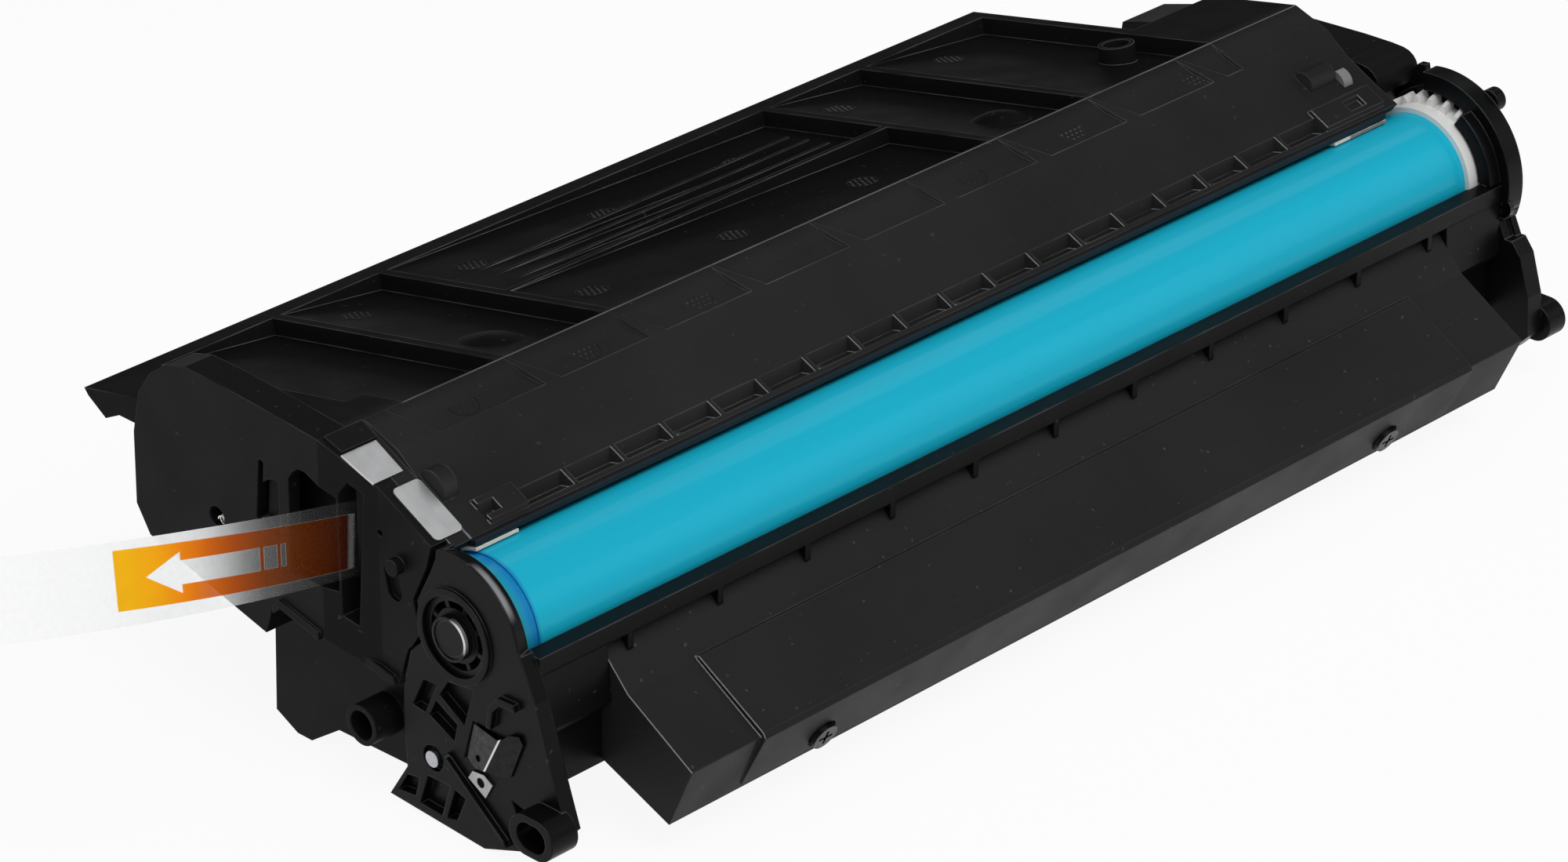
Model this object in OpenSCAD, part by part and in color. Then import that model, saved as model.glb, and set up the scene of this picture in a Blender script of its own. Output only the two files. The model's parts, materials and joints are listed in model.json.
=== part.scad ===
// Laser toner cartridge: a drum unit hinged in front of a toner hopper.
// Frame: the drum axis is the X axis, X = 0 is the free end of the left drum
// pin, +X runs to the gear end, +Y to the back of the hopper, +Z is up.
// Sections are drawn as front-view outlines of Y and Z and run along X.

/* [Photosensitive drum] */
// Radius of the coated drum tube
drum_r = 12; // [11.5:0.1:12.4]
// Length of the drum tube
drum_len = 240; // [200:1:280]
// Wall of the drum tube
drum_wall = 0.8; // [0.6:0.1:1.2]
// Radius of the pin that the left end turns on
pin_r = 4; // [3:0.1:4.2]
// Length of the pin outside the left plate
pin_proud = 1.5; // [1:0.1:3]
// Width of the flange between the left plate and the tube
flange_w = 4; // [3:0.5:6]
// Radius of the plain rim beside the drum gear
rim_r = 13; // [12.6:0.1:13.2]
// Width of that rim
rim_w = 3; // [2.5:0.5:4]
// Radius of the drive hub in the right housing
hub_r = 7; // [6:0.1:7.5]
// Length of the drive coupling beyond the right housing
coupling_proud = 3; // [2:0.5:4]

/* [Running fits] */
// Radial clearance of a shaft in its bore
run_fit = 0.05; // [0.03:0.01:0.1]
// Clearance between the drum and whatever faces it
drum_gap = 0.3; // [0.3:0.05:0.5]
// Gap along the axis between turning and still parts
end_gap = 0.5; // [0.4:0.05:0.8]
// Gap between the hopper and the hinged drum unit
unit_gap = 0.6; // [0.5:0.05:0.9]

/* [Gear train] */
// Tooth module of all gears
gear_m = 1; // [0.9:0.05:1]
// Teeth of the drum gear
drum_teeth = 27; // [26:1:27]
// Teeth of the developer roller gear
dev_teeth = 13; // [13:1:14]
// Teeth of the idler
idler_teeth = 20; // [18:1:21]
// Teeth of the agitator gear
agit_teeth = 18; // [16:1:18]
// Helix angle of the teeth
helix = 15; // [0:1:20]
// Width of the small gears
gear_w = 4.5; // [4:0.1:5]
// Room in the gear cover beyond the gears
gear_room = 3.5; // [2:0.1:4]
// Width of the drum gear
drum_gear_w = 4.2; // [4:0.1:5]
// Direction from the drum axis to the developer roller
dev_dir = -16; // [-18:1:-14]
// Direction from the developer roller to the idler
idler_dir = 30; // [26:1:32]
// Radius of the posts and shafts that carry the small gears
post_r = 2.5; // [2:0.1:3]

/* [Developer roller] */
// Radius of the magnet core inside the sleeve
magnet_r = 6.2; // [5.5:0.1:6.4]
// Wall of the developer sleeve
sleeve_wall = 0.8; // [0.6:0.1:0.9]
// Radius of the sleeve journal at the gear end
journal_r = 4; // [3.5:0.1:4.5]
// Radius of the magnet core shaft at the left end
magnet_shaft_r = 3; // [2.5:0.1:3.2]

/* [Charge roller] */
// Radius of the rubber
charge_r = 6; // [5:0.1:6.4]
// Radius of the steel shaft
charge_shaft_r = 2.5; // [2:0.1:3]
// Width of each bearing block
charge_block_w = 3.6; // [3:0.2:4]
// Wire radius of the pressure springs
spring_wire_r = 0.3; // [0.25:0.05:0.4]

/* [Roof] */
// Distance of the crease behind the drum axis
crease_y = 29; // [28:0.5:30]
// Height of the crease above the drum axis
crease_z = 26.4; // [26:0.2:27]
// Slope of the rear roof
rear_slope = 12; // [11:0.5:13]
// Thickness of the roof
lid_t = 5.2; // [4.8:0.1:5.6]
// Depth of the rear pockets at their right end
pocket_depth = 3.2; // [2:0.1:3.4]
// Width of the ribs between the rear pockets
rib_w = 2; // [1.5:0.1:3]
// Back edge of the roof
lid_back_y = 91.2; // [88:0.2:94]
// Spacing of the wedge ribs along the crease
wedge_pitch = 24.5; // [20:0.5:30]
// Width of a wedge rib at its foot
wedge_w = 4.2; // [3:0.2:5]
// Spacing of the thin ribs in the front comb
comb_pitch = 11.44; // [10:0.1:14]
// Thickness of the comb ribs
comb_rib_w = 1; // [0.8:0.1:1.6]

/* [Hopper] */
// Wall of the hopper
wall = 2; // [1.6:0.1:2.4]
// Back face of the hopper
back_y = 76.6; // [76:0.2:78]
// Thickness of the left cover skin
cover_t = 2.5; // [2:0.1:3]
// Depth of the left cover over the hopper
cover_depth = 6.4; // [6:0.1:6.6]
// Lowest point of the feet under the drum axis
foot_z = -38; // [-40:0.5:-37]

/* [Seal tape] */
// Width of the tape
tape_w = 14; // [12:0.5:14]
// Thickness of the tape
tape_t = 0.25; // [0.2:0.05:0.3]

/* [Drum unit] */
// Thickness of the left plate
plate_t = 3; // [2.5:0.1:3.4]
// Radius of the left plate around the drum
plate_r = 15; // [14.6:0.1:15.2]
// Thickness of the front lip
lip_t = 3.35; // [2.5:0.05:3.6]
// Spacing of the gussets under the lip
gusset_pitch = 20.8; // [18:0.2:30]
// Thickness of the gussets
gusset_w = 1.2; // [1:0.1:2]
// Wall of the waste bin cover
bin_wall = 1.6; // [1.2:0.1:2]
// Height of the raised panel on the waste bin cover
panel_step = 1; // [0.5:0.1:1.4]
// Radius of the hinge pins
hinge_r = 1.5; // [1.2:0.1:1.8]
// Inner radius of the ring around the drum gear
ring_r = 15; // [14.8:0.1:15.2]
// Width of that ring
ring_w = 3.5; // [3:0.1:4]

/* [Hidden] */

$fn = 72;
coarse = 32;
// Overshoot of a cutting body
eps = 0.01;
over = 2;

// Stations along the axis
x_plate0 = pin_proud;
x_plate1 = x_plate0 + plate_t;
x_unit = x_plate1 + end_gap;
x_tube0 = x_unit + flange_w;
x_tube1 = x_tube0 + drum_len;
x_rim1 = x_tube1 + rim_w;
x_drum_gear1 = x_rim1 + drum_gear_w;
x_gear1 = x_rim1 + gear_w;
x_side0 = x_tube1 - 2;
x_side1 = x_side0 + 2;
x_tank1 = x_side0 - 22.5;
x_cover0 = x_unit - cover_depth;
x_gear_wall0 = x_gear1 + gear_room;
x_gear_wall1 = x_gear_wall0 + 1.5;
x_housing0 = x_drum_gear1 - 2.2;
x_wall0 = x_drum_gear1 + end_gap;
x_wall1 = x_wall0 + 1.5;
x_end = x_wall1 + coupling_proud;

// Roof heights
front_rise = 0.505;
function roof_front(y) = crease_z - (crease_y - y) * front_rise;
function roof_rear(y) = crease_z - (y - crease_y) * tan(rear_slope);
knuckle = [21, 23.7];
seam_y = 22;
seam_z = roof_front(seam_y) - lid_t;

// Gear centres
function pitch_r(teeth) = teeth * gear_m / 2;
function polar(c, r, a) = [c[0] + r * cos(a), c[1] + r * sin(a)];
dev_c = polar([0, 0], pitch_r(drum_teeth) + pitch_r(dev_teeth), dev_dir);
idler_c = polar(dev_c, pitch_r(dev_teeth) + pitch_r(idler_teeth), idler_dir);
agit_c = [idler_c[0] + pitch_r(idler_teeth) + pitch_r(agit_teeth), idler_c[1]];
dev_r = norm(dev_c) - drum_r - drum_gap;
addendum = 0.8 * gear_m;
backlash = 0.15;

// Charge roller below the drum
charge_dir = -85.3;
charge_c = polar([0, 0], drum_r + charge_r + drum_gap, charge_dir);

// Hinge of the drum unit and its guide bosses
hinge_c = [6.3, -25.6];
guide_c = [-23.3, -26.8];
guide_r = 3.7;
guide_bore_r = 2.5;
guide_shift = 2.8;
hopper_guide_c = [20.7, -24];

// Drives a front-view outline of Y and Z from x0 to x1
module along_x(x0, x1) {
    translate([x0, 0, 0])
        rotate([90, 0, 90])
            linear_extrude(height = x1 - x0)
                children();
}

// Round bar along X at the point c of Y and Z
module bar_x(x0, x1, r, c = [0, 0]) {
    translate([x0, c[0], c[1]])
        rotate([0, 90, 0])
            cylinder(r = r, h = x1 - x0);
}

// Tube along X
module tube_x(x0, x1, r, bore, c = [0, 0]) {
    difference() {
        bar_x(x0, x1, r, c);
        bar_x(x0 - over, x1 + over, bore, c);
    }
}

// Axes lying in the rear roof: X along the crease, Y down the slope, Z out
module on_rear_roof() {
    translate([0, crease_y, crease_z])
        rotate([-rear_slope, 0, 0])
            children();
}

// Slot outline with round ends, from a to b
module obround(a, b, r) {
    d = b - a;
    translate(a)
        circle(r = r);
    translate(b)
        circle(r = r);
    translate(a)
        rotate(atan2(d[1], d[0]))
            translate([0, -r])
                square([norm(d), 2 * r]);
}

// ---------- hopper, roof and covers ----------

// Front-view outline under the roof seam
hopper_section = [
    [back_y, roof_rear(back_y) - lid_t], [back_y, -3], [73.4, -8], [52.9, -13.3],
    [44, -16], [30, -17], [13.6, -16.6], [12.6, -14.8], [12.9, 2], [12, seam_z - 5],
    [seam_y, seam_z], [crease_y, crease_z - lid_t]
];

tank_front = 26.5;
tank_section = [
    [back_y - wall, 30], [back_y - wall, -2.4], [73.4 - wall / 2, -8 + wall],
    [52.9, -13.3 + wall], [44, -16 + wall], [29.5, -17 + wall], [29.5, -2],
    [tank_front, 1.5], [tank_front, 30]
];

developer_section = [
    [tank_front - wall, 30], [tank_front - wall, 1.5], [27.5, -2], [27.5, -14.9],
    [-5, -14.6], [-5, 30]
];

foot_section = [
    [49, -13.5], [49.9, foot_z + 2.6], [44.6, foot_z], [41, foot_z], [33.8, -33],
    [16.2, -32.5],
    [13.8, -28], [13.8, -16]
];

window_z = [5, 14.5];

module toner_hopper() {
    color("#1d1f22")
    difference() {
        union() {
            along_x(x_unit, x_tank1)
                polygon(hopper_section);
            // developer chamber runs on to the gear side
            along_x(x_tank1 - eps, x_side0)
                intersection() {
                    polygon(hopper_section);
                    translate([0, -40])
                        square([tank_front + 3, 80]);
                }
            // left foot with its guide boss and hinge lug
            along_x(x_unit, x_unit + 5)
                polygon(foot_section);
            along_x(x_unit, x_unit + 2.8)
                union() {
                    translate(hinge_c)
                        circle(r = 3.5);
                    translate([hinge_c[0], hinge_c[1] - 3])
                        square([9, 6]);
                }
            bar_x(x_cover0, x_unit + eps, guide_r, hopper_guide_c);
            // rib along the foot of the tank
            along_x(x_unit + 5, x_tank1)
                polygon([[44, -15.9], [46, -15.2], [46, -18], [44, -18]]);
        }
        along_x(x_unit + wall, x_tank1 - wall)
            polygon(tank_section);
        along_x(x_unit + wall, x_side0 - wall)
            polygon(developer_section);
        // seal window between tank and developer chamber
        translate([x_unit + 15, tank_front - wall - over, window_z[0]])
            cube([x_tank1 - x_unit - 20, wall + 2 * over, window_z[1] - window_z[0]]);
        // slit for the tape in the left wall
        translate([x_unit - over, tank_front - wall - 0.9, 9.5 - tape_w / 2 - 0.5])
            cube([wall + 2 * over, 0.9, tape_w + 1]);
        bar_x(x_unit - over, x_side0 + over, drum_r + 0.8);
        bar_x(x_side0 - wall - over, x_side0 + over, journal_r + run_fit, dev_c);
        bar_x(x_unit - over, x_unit + wall + over, magnet_shaft_r, dev_c);
        bar_x(x_unit + 0.6, x_unit + wall + over, post_r + run_fit, agit_c);
        bar_x(x_tank1 - wall - over, x_tank1 + over, post_r + run_fit, agit_c);
        bar_x(x_unit - over, x_unit + 2.8 + over, hinge_r + run_fit, hinge_c);
        bar_x(x_cover0 - over, x_unit + 3.5, 2.7, hopper_guide_c);
        // filling hole in the right end of the tank
        bar_x(x_tank1 - wall - over, x_tank1 + over, 7, fill_c);
    }
}

fill_c = [67, 2.5];

// Roof outline from the drum to the back edge
lid_section = [
    [3.5, 13.8], [8.2, roof_front(8.2)], [15.7, roof_front(15.7)], knuckle,
    [crease_y, crease_z], [lid_back_y, roof_rear(lid_back_y)],
    [lid_back_y - 1, roof_rear(lid_back_y) - 1.2], [lid_back_y - 5.4, 9.2],
    [lid_back_y - 9.1, 11.1], [back_y, roof_rear(back_y) - lid_t],
    [crease_y, crease_z - lid_t], [seam_y, seam_z], [12, seam_z - 5], [5.2, 11.6]
];

// Back of the narrow roof over the gears
lid_block_back = 50;

rear_ribs = [x_unit + 34, x_unit + 59, x_tank1 - 63.5, x_tank1 - 37];
tray_end = x_tank1 - 2.5;
tray_len = 59;

bay_start = 0.2;
// Depth of the floor at x, in the bay after rib i
function bay_depth(x, i) = let (x0 = rear_ribs[i] + rib_w)
    bay_start + (pocket_depth - bay_start) * (x - x0) / (rear_ribs[i + 1] - x0);

// One sunk bay of the rear roof: level with the roof at x0, deep at x1.
// Its front wall leans; it may be cut short of its ramp, from xa to xb.
module rear_bay(x0, x1, y0, y1, d, xa = -1000, xb = 1000) {
    on_rear_roof()
        intersection() {
            translate([0, y1, 0])
                rotate([90, 0, 0])
                    linear_extrude(height = y1 - y0 + 5)
                        polygon([[x0, -bay_start], [x1, -d], [x1, 3], [x0, 3]]);
            along_x(max(x0 - 1, xa), min(x1 + 1, xb))
                polygon([[y0 - 1.4, 1], [y0 + (d + 1) * 1.4, -d - 1], [y1 + 1, -d - 1],
                    [y1 + 1, 4], [y0 - 1.4, 4]]);
        }
}

// Flat dome of height h on the floor of a bay, floor_d below the roof
module roof_dome(x, y, floor_d, h) {
    ball = (dome_r * dome_r + h * h) / (2 * h);
    translate([x, y, -floor_d])
        intersection() {
            translate([0, 0, h - ball])
                sphere(r = ball, $fn = 64);
            translate([-dome_r - 1, -dome_r - 1, -0.7])
                cube([2 * dome_r + 2, 2 * dome_r + 2, h + 2]);
        }
}

dome_r = 5.4;
// Narrow land left along the crease
crease_land = 0.3;

front_bay_section = [
    [crease_y, crease_z], [25, 24.2], [knuckle[0], 23.2], [knuckle[0] - 0.4, 25],
    [crease_y, crease_z + 2]
];

wedge_first = x_unit + 35;
wedge_count = floor((x_tank1 - 13 - wedge_first) / wedge_pitch) + 1;

// Wedge rib between two front bays, seen from above
module wedge_rib(x) {
    linear_extrude(height = 40)
        polygon([[x, crease_y + 0.4], [x + 2.4, knuckle[0] - 1],
            [x + 2.4 + wedge_w, knuckle[0] - 1], [x + 0.4, crease_y + 0.4]]);
}

comb_first = x_unit + 28;
comb_count = floor((x_tank1 - 8 - comb_first) / comb_pitch) + 1;
comb_end = comb_first + (comb_count - 1) * comb_pitch;

// Raised front edge of the roof beside the comb
comb_block = [[4.4, 13.4], [4.4, 15.1], [8.6, 17.2], [9.8, 16.4], [9.8, 15]];

module comb_pocket(x) {
    along_x(x + comb_rib_w, x + comb_pitch)
        polygon([[4.3, 15], [4.9, 13.5], [7.9, 12.7], [7.9, 17]]);
}

module hopper_lid() {
    color("#24272a")
    difference() {
        along_x(x_plate0 - 1.2, x_side0)
            polygon(lid_section);
        // only the back flange reaches past the left cover
        translate([x_plate0 - 1.2 - over, -10, 0])
            cube([x_unit - x_plate0 + 1.2 + over, back_y + 10.4, 50]);
        translate([x_tank1, lid_block_back, 0])
            cube([x_side0 - x_tank1 + over, 60, 50]);
        // level seat of the contact plates
        along_x(x_unit - over, x_unit + 3.9)
            polygon([[1, roof_front(1)], [crease_y - 0.2, roof_front(crease_y - 0.2)],
                [crease_y - 0.2, 30], [1, 30]]);
        // rear bays, stepped at the left
        rear_bay(x_unit + 8.7, rear_ribs[0], crease_land, tray_len, pocket_depth,
            xa = x_unit + 12.7);
        rear_bay(x_unit + 8.7, rear_ribs[0], 10, tray_len, pocket_depth,
            xb = x_unit + 14);
        for (i = [0 : 2])
            rear_bay(rear_ribs[i] + rib_w, rear_ribs[i + 1], crease_land, tray_len,
                pocket_depth);
        rear_bay(rear_ribs[3] + rib_w, tray_end, crease_land, tray_len,
            pocket_depth + 0.3);
        // front bays between the wedge ribs
        difference() {
            along_x(x_unit + 8.2, tray_end)
                polygon(front_bay_section);
            for (i = [0 : wedge_count - 1])
                wedge_rib(wedge_first + i * wedge_pitch);
            linear_extrude(height = 40)
                polygon([[x_unit, crease_y + 1], [x_unit + 7.8, crease_y + 1],
                    [x_unit + 14, knuckle[0] - 1], [x_unit, knuckle[0] - 1]]);
        }
        // comb pockets
        for (i = [-1 : comb_count - 1])
            comb_pocket(comb_first + i * comb_pitch);
        translate([comb_first - comb_pitch - 7.6, 5.4, 14.2])
            cube([3.4, 2.2, 5]);
        bar_x(x_unit - over, x_side0 + over, drum_r + 1);
    }
    color("#24272a") {
        // raised blocks at the ends of the comb
        difference() {
            union() {
                along_x(x_unit + 9, comb_first - comb_pitch + comb_rib_w)
                    polygon(comb_block);
                along_x(comb_end + comb_pitch, x_side0 - 3)
                    polygon(comb_block);
            }
            translate([comb_first - comb_pitch - 7.6, 5.4, 14.2])
                cube([3.4, 2.2, 5]);
            translate([comb_end + comb_pitch + 8, 5.4, 14.2])
                cube([4.4, 2.2, 5]);
        }
        // ribs and rails in the middle bay
        on_rear_roof() {
            translate([rear_ribs[1] + rib_w, 26.2, -pocket_depth])
                cube([rear_ribs[2] - rear_ribs[1] - rib_w, 1.4, pocket_depth]);
            for (y = [31.2, 36.6, 41.8])
                translate([rear_ribs[1] + rib_w, y, -pocket_depth])
                    cube([rear_ribs[2] - rear_ribs[1] - 12, 1, pocket_depth - 0.4]);
            for (c = [[x_unit + 41.6, 12.6, 0], [rear_ribs[2] + 14.1, 11.6, 2]])
                let (d = bay_depth(c[0], c[2]))
                    roof_dome(c[0], c[1], d, d - 0.07);
            translate([x_tank1 - 10.4, 16.6, -pocket_depth - 0.6])
                difference() {
                    cylinder(r = 3.5, h = 4.6);
                    translate([0, 0, 0.9])
                        cylinder(r = 2.6, h = 5);
                }
        }
        // half-round bumps at the ends of the comb
        intersection() {
            bar_x(x_unit + 4.7, x_unit + 7.9, 3.2, [14, roof_front(14)]);
            along_x(x_unit + 4, x_unit + 8)
                polygon([[10, roof_front(10) - 1], [18, roof_front(18) - 1],
                    [18, 30], [10, 30]]);
        }
        intersection() {
            bar_x(x_side0 - 15, x_side0 - 8, 2.4, [14.6, roof_front(14.6)]);
            along_x(x_side0 - 15, x_side0 - 8)
                polygon([[10, roof_front(10) - 1], [18, roof_front(18) - 1],
                    [18, 30], [10, 30]]);
        }
    }
}

// Clear outline behind the drum unit, shared by plate and cover
plate_back = [
    [4.3, 12.8], [5.7, 9.6], [9, 3.2], [7.9, -4], [11, -7], [12.6, -12.5],
    [13.4, -19.4]
];

// Drum unit end plate seen from the left
module plate_outline() {
    intersection() {
        circle(r = plate_r);
        polygon(concat([[-20, 20], [3.4, 20]], plate_back, [[-20, -19.4]]));
    }
    polygon(concat(plate_back, [
        [12.8, -29.8], [17.3, -36.8], [-5.6, foot_z + 0.1], [-15.1, -34.4],
        guide_c + [1, -guide_r], guide_c + [-2.2, 0], [-22.4, -17.6], [-18.7, -5.2],
        [-17.1, -1.6], [-13, 5.9], [-10, 4]]));
}

cover_section = [
    [5.3, roof_front(5.3)], [crease_y, crease_z],
    [40, 27.2], [53, 27.9], [62, 28], [67, 26.6], [71, 23.8], [74.5, 19],
    [76.3, 10.8], [76.6, -3], [73.4, -8], [52.9, -13.3], [44, -15.5], [42.3, -10.4],
    [39.6, -8.4], [31.9, -10.1], [21.6, -13.3], [14.2, -14.7], [12, -8], [8.6, -3],
    [10, 3], [6.6, 10]
];

cover_hollow = [
    [26, 21], [crease_y + 2, 22.4], [40, 24], [60, 24.6], [66, 23], [70, 19.5],
    [72.8, 15], [74, 9.6], [74.4, -2.6], [72.6, -6.2], [52.6, -11.2], [45.6, -13],
    [44.2, -9], [40.4, -6.2], [31.6, -8.1], [26, -9.8]
];

// Cover seen from above: the front half lies further in
cover_plan = [
    [x_cover0, crease_y], [x_plate0, 18], [x_plate0, 0], [x_unit, 0], [x_unit, 100],
    [x_cover0, 100]
];

tape_slot_y = [20.6, 23.6];

module left_end_cover() {
    color("#1f2124")
    difference() {
        intersection() {
            along_x(x_cover0, x_unit)
                polygon(cover_section);
            translate([0, 0, -50])
                linear_extrude(height = 100)
                    polygon(cover_plan);
        }
        along_x(x_cover0 + cover_t, x_unit + over)
            polygon(cover_hollow);
        // hollow behind the front half
        along_x(x_plate0 + 2, x_unit + over)
            polygon([[26.1, 20.2], [22, 18], [15.5, 14], [15.5, -11.6], [26.1, -9.8]]);
        along_x(x_cover0 - over, x_unit + over)
            translate([unit_gap, 0])
                plate_outline();
        // tall slot and quadrant
        along_x(x_cover0 - over, x_unit)
            obround([43.4, 16.8], [44.4, 6.4], 0.65);
        along_x(x_cover0 - over, x_cover0 + 1.4)
            intersection() {
                translate([39.2, 9.6])
                    circle(r = 5.4);
                translate([39.2, 0])
                    square([5.4, 16]);
            }
        // window above the tape
        along_x(x_cover0 - over, x_unit)
            polygon([[35.4, 18.2], [36.6, 16.6], [36.9, -1], [25.8, -1], [25.8, 16.6],
                [32.4, 19.2], [34, 19.2]]);
        // slit that the tape leaves by
        along_x(x_cover0 - over, x_unit + over)
            polygon([[tape_slot_y[0], 18.6], [tape_slot_y[1], 20], [tape_slot_y[1] + 1.8, 17.5],
                [tape_slot_y[1] + 1.8, -5.4], [tape_slot_y[0] + 1.6, -6.5]]);
        along_x(x_cover0 - over, x_unit)
            translate([55.4, 2.3])
                circle(r = 1.9);
        along_x(x_plate0 - over, x_plate0 + 1.2)
            translate([17.6, 12.4])
                circle(r = 0.6);
        // pocket under the peg
        along_x(x_plate0 - over, x_plate0 + 1)
            obround([15.2, 6.2], [14.4, 2.6], 1.7);
    }
    color("#1f2124") {
        // locating peg
        bar_x(x_plate0 - 1.8, x_plate0 + 1, 1.5, [13.2, 8.2]);
        // black bridge over the top end of the upper contact
        translate([0, 18.3, roof_front(18.3)])
            rotate([lower_slope, 0, 0]) {
                translate([0, 7.5, 0.1])
                    linear_extrude(height = 0.9)
                        polygon([[x_plate0 - 1.4, 0], [x_plate0 + 6.3, 0],
                            [x_plate0 + 6.3, 4.1], [x_plate0 - 2.1, 4.1]]);
                translate([0, 7.5, -0.6])
                    linear_extrude(height = 0.9)
                        polygon([[x_plate0 - 1.2, 0.2], [x_unit - 0.1, 0.2],
                            [x_unit - 0.1, 4], [x_plate0 - 1.9, 4]]);
            }
        // bead along the lower seam
        along_x(x_plate0 - 0.9, x_plate0 + 1)
            polygon([[31.9, -9.4], [31.9, -10.9], [15, -15], [14.2, -14.2], [14.8, -13.2]]);
        along_x(x_cover0 - 0.6, x_cover0 + 1)
            polygon([[41.6, -9.3], [39.9, -7.4], [30, -9.7], [30, -11.2], [39.6, -9],
                [41.4, -10.6]]);
    }
}

side_section = [
    [12.6, -14.8], [13.6, -16.6], [30, -17], [44, -16], [52.9, -13.3], [62, -9.6],
    [66, -2], [64, 8.6], [49, 13.4], [24, 15], [13, 15], [10.5, 12]
];

// Foot of the right plate, lightened by a window
module foot_outline() {
    difference() {
        polygon(foot_section);
        translate([20, -30])
            square([22, 9]);
    }
}

module right_side_plate() {
    color("#1d1f22")
    difference() {
        union() {
            along_x(x_side0, x_side1)
                polygon(side_section);
            // right foot and hinge lug
            along_x(x_side0, x_side1)
                foot_outline();
            along_x(x_side1 - eps, x_housing0 - end_gap)
                intersection() {
                    foot_outline();
                    translate([0, foot_z])
                        square([60, -18.5 - foot_z]);
                }
            along_x(x_housing0 - end_gap - 3.5, x_housing0 - end_gap)
                union() {
                    translate(hinge_c)
                        circle(r = 3.5);
                    translate([hinge_c[0], hinge_c[1] - 3])
                        square([9, 6]);
                }
            // post of the idler
            bar_x(x_side1 - eps, x_gear_wall0 - 0.1, post_r, idler_c);
            bar_x(x_side1 - eps, x_rim1 - end_gap, post_r + 1.6, idler_c);
        }
        bar_x(x_side0 - over, x_housing0 + over, drum_r + 1.6);
        bar_x(x_side0 - over, x_side1 + over, journal_r + run_fit, dev_c);
        bar_x(x_side0 - over, x_side1 + over, post_r + run_fit, agit_c);
        bar_x(x_housing0 - 8, x_housing0 + over, hinge_r + run_fit, hinge_c);
    }
}

gear_cover_section = [
    [back_y - 2.7, 8.6], [49, 16.1], [23.6, 17.7], [16.4, 17.9], [14.3, 15.4],
    [13.9, 10.2], [14.9, 2], [14.9, -2], [10.8, -11], [11, -15.5], [14, -17.6], [30, -18],
    [45, -17], [54, -14.2], [66, -10.4], [73.6, -6], [75.4, -1]
];

gear_cover_hollow = [
    [back_y - 4.7, 6.8], [48.8, 14.2], [23.6, 15.8], [17.4, 15.9], [16.8, 2], [16.4, -3],
    [12.6, -11], [13.2, -14.8], [14.8, -15.8], [30, -16.2], [44.8, -15.2], [53.6, -12.4],
    [65.2, -8.6], [72, -4.8], [73.5, -1]
];

module gear_cover() {
    color("#202225")
    difference() {
        along_x(x_side1 + 0.1, x_gear_wall1)
            polygon(gear_cover_section);
        along_x(x_side1 - over, x_gear_wall0)
            polygon(gear_cover_hollow);
        bar_x(x_side1 - over, x_gear_wall1 + over, ring_r + 0.2);
        // the developer gear reaches out to the drum gear
        bar_x(x_side1 - over, x_gear1 + end_gap, pitch_r(dev_teeth) + addendum + 0.7, dev_c);
        bar_x(x_side1 - over, x_gear1 + end_gap, pitch_r(agit_teeth) + addendum + 0.5, agit_c);
    }
}

// Pads at the two ends of the drum slot: outer radius and runs along X
pad_r = drum_r + drum_gap + 0.6;
pad_x = [[x_unit + 3.5, x_unit + 13], [x_side0 - 20, x_side0 - 5]];

// Dark bar in front of the comb, relieved over the two end pads
module drum_guard_bar() {
    color("#2a303a")
    difference() {
        along_x(x_unit + 3.5, x_side0 - 5)
            polygon([[2.2, 12.9], [2.2, 14], [3.2, 13.9], [4.75, 11.8]]);
        bar_x(x_unit, x_side0, drum_r + 0.7);
        for (x = pad_x)
            bar_x(x[0] - 0.3, x[1] + 0.3, pad_r + 0.3);
    }
}

stay_y = 19.8;
stay_z = dev_c[1] + dev_r + 1.9;

module doctor_blade_stay() {
    color("#b9bcc0")
    along_x(x_unit + wall, x_side0 - wall)
        polygon([[stay_y, stay_z], [stay_y + 1.2, stay_z], [stay_y + 1.2, stay_z + 5.4],
            [13.5, stay_z + 5.4], [13.5, stay_z + 4.2], [stay_y, stay_z + 4.2]]);
}

module doctor_blade() {
    color("#3a3430")
    along_x(x_unit + wall + 3, x_side0 - wall - 3)
        translate([stay_y - 1.2, dev_c[1] + dev_r + drum_gap])
            square([1.2, 5]);
}

// Pale pads that close the ends of the drum slot
module end_seals() {
    color("#e8e6dc")
    for (x = pad_x)
        along_x(x[0], x[1])
            intersection() {
                difference() {
                    circle(r = pad_r);
                    circle(r = drum_r + drum_gap);
                }
                polygon([[0, 0], [2.4, 14], [7.6, 14]]);
            }
}

// Route of the tape: the inner strip runs straight in front of the seal
// window, the free end swings out to the left and leans back.
tape_z = 9.5;
tape_in_y = tank_front - wall - 0.5;
tape_exit = [x_plate0, 22.3];
tape_reach = 60;
tape_swing = 21.5;
tape_rise = 3.4;
tape_lean = 27;
tape_steps = 12;

function tape_free(s) = [
    tape_exit[0] - tape_reach * s,
    tape_exit[1] + tape_swing * s * (0.62 + 0.38 * s),
    tape_z + 0.4 + tape_rise * s
];
function tape_mid(i) =
    i == 0 ? [x_tank1 - 4, tape_in_y, tape_z] :
    i == 1 ? [x_unit + 4, tape_in_y, tape_z] :
    i == 2 ? [x_unit - 0.5, tape_in_y - 0.3, tape_z] :
    tape_free((i - 3) / tape_steps);
tape_n = tape_steps + 4;
function tape_tilt(i) = i < 3 ? 0 : tape_lean * (i - 3) / tape_steps;
function unit2(v) = v / norm(v);
function tape_dir(i) = unit2(tape_mid(min(i + 1, tape_n - 1)) - tape_mid(max(i - 1, 0)));
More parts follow.
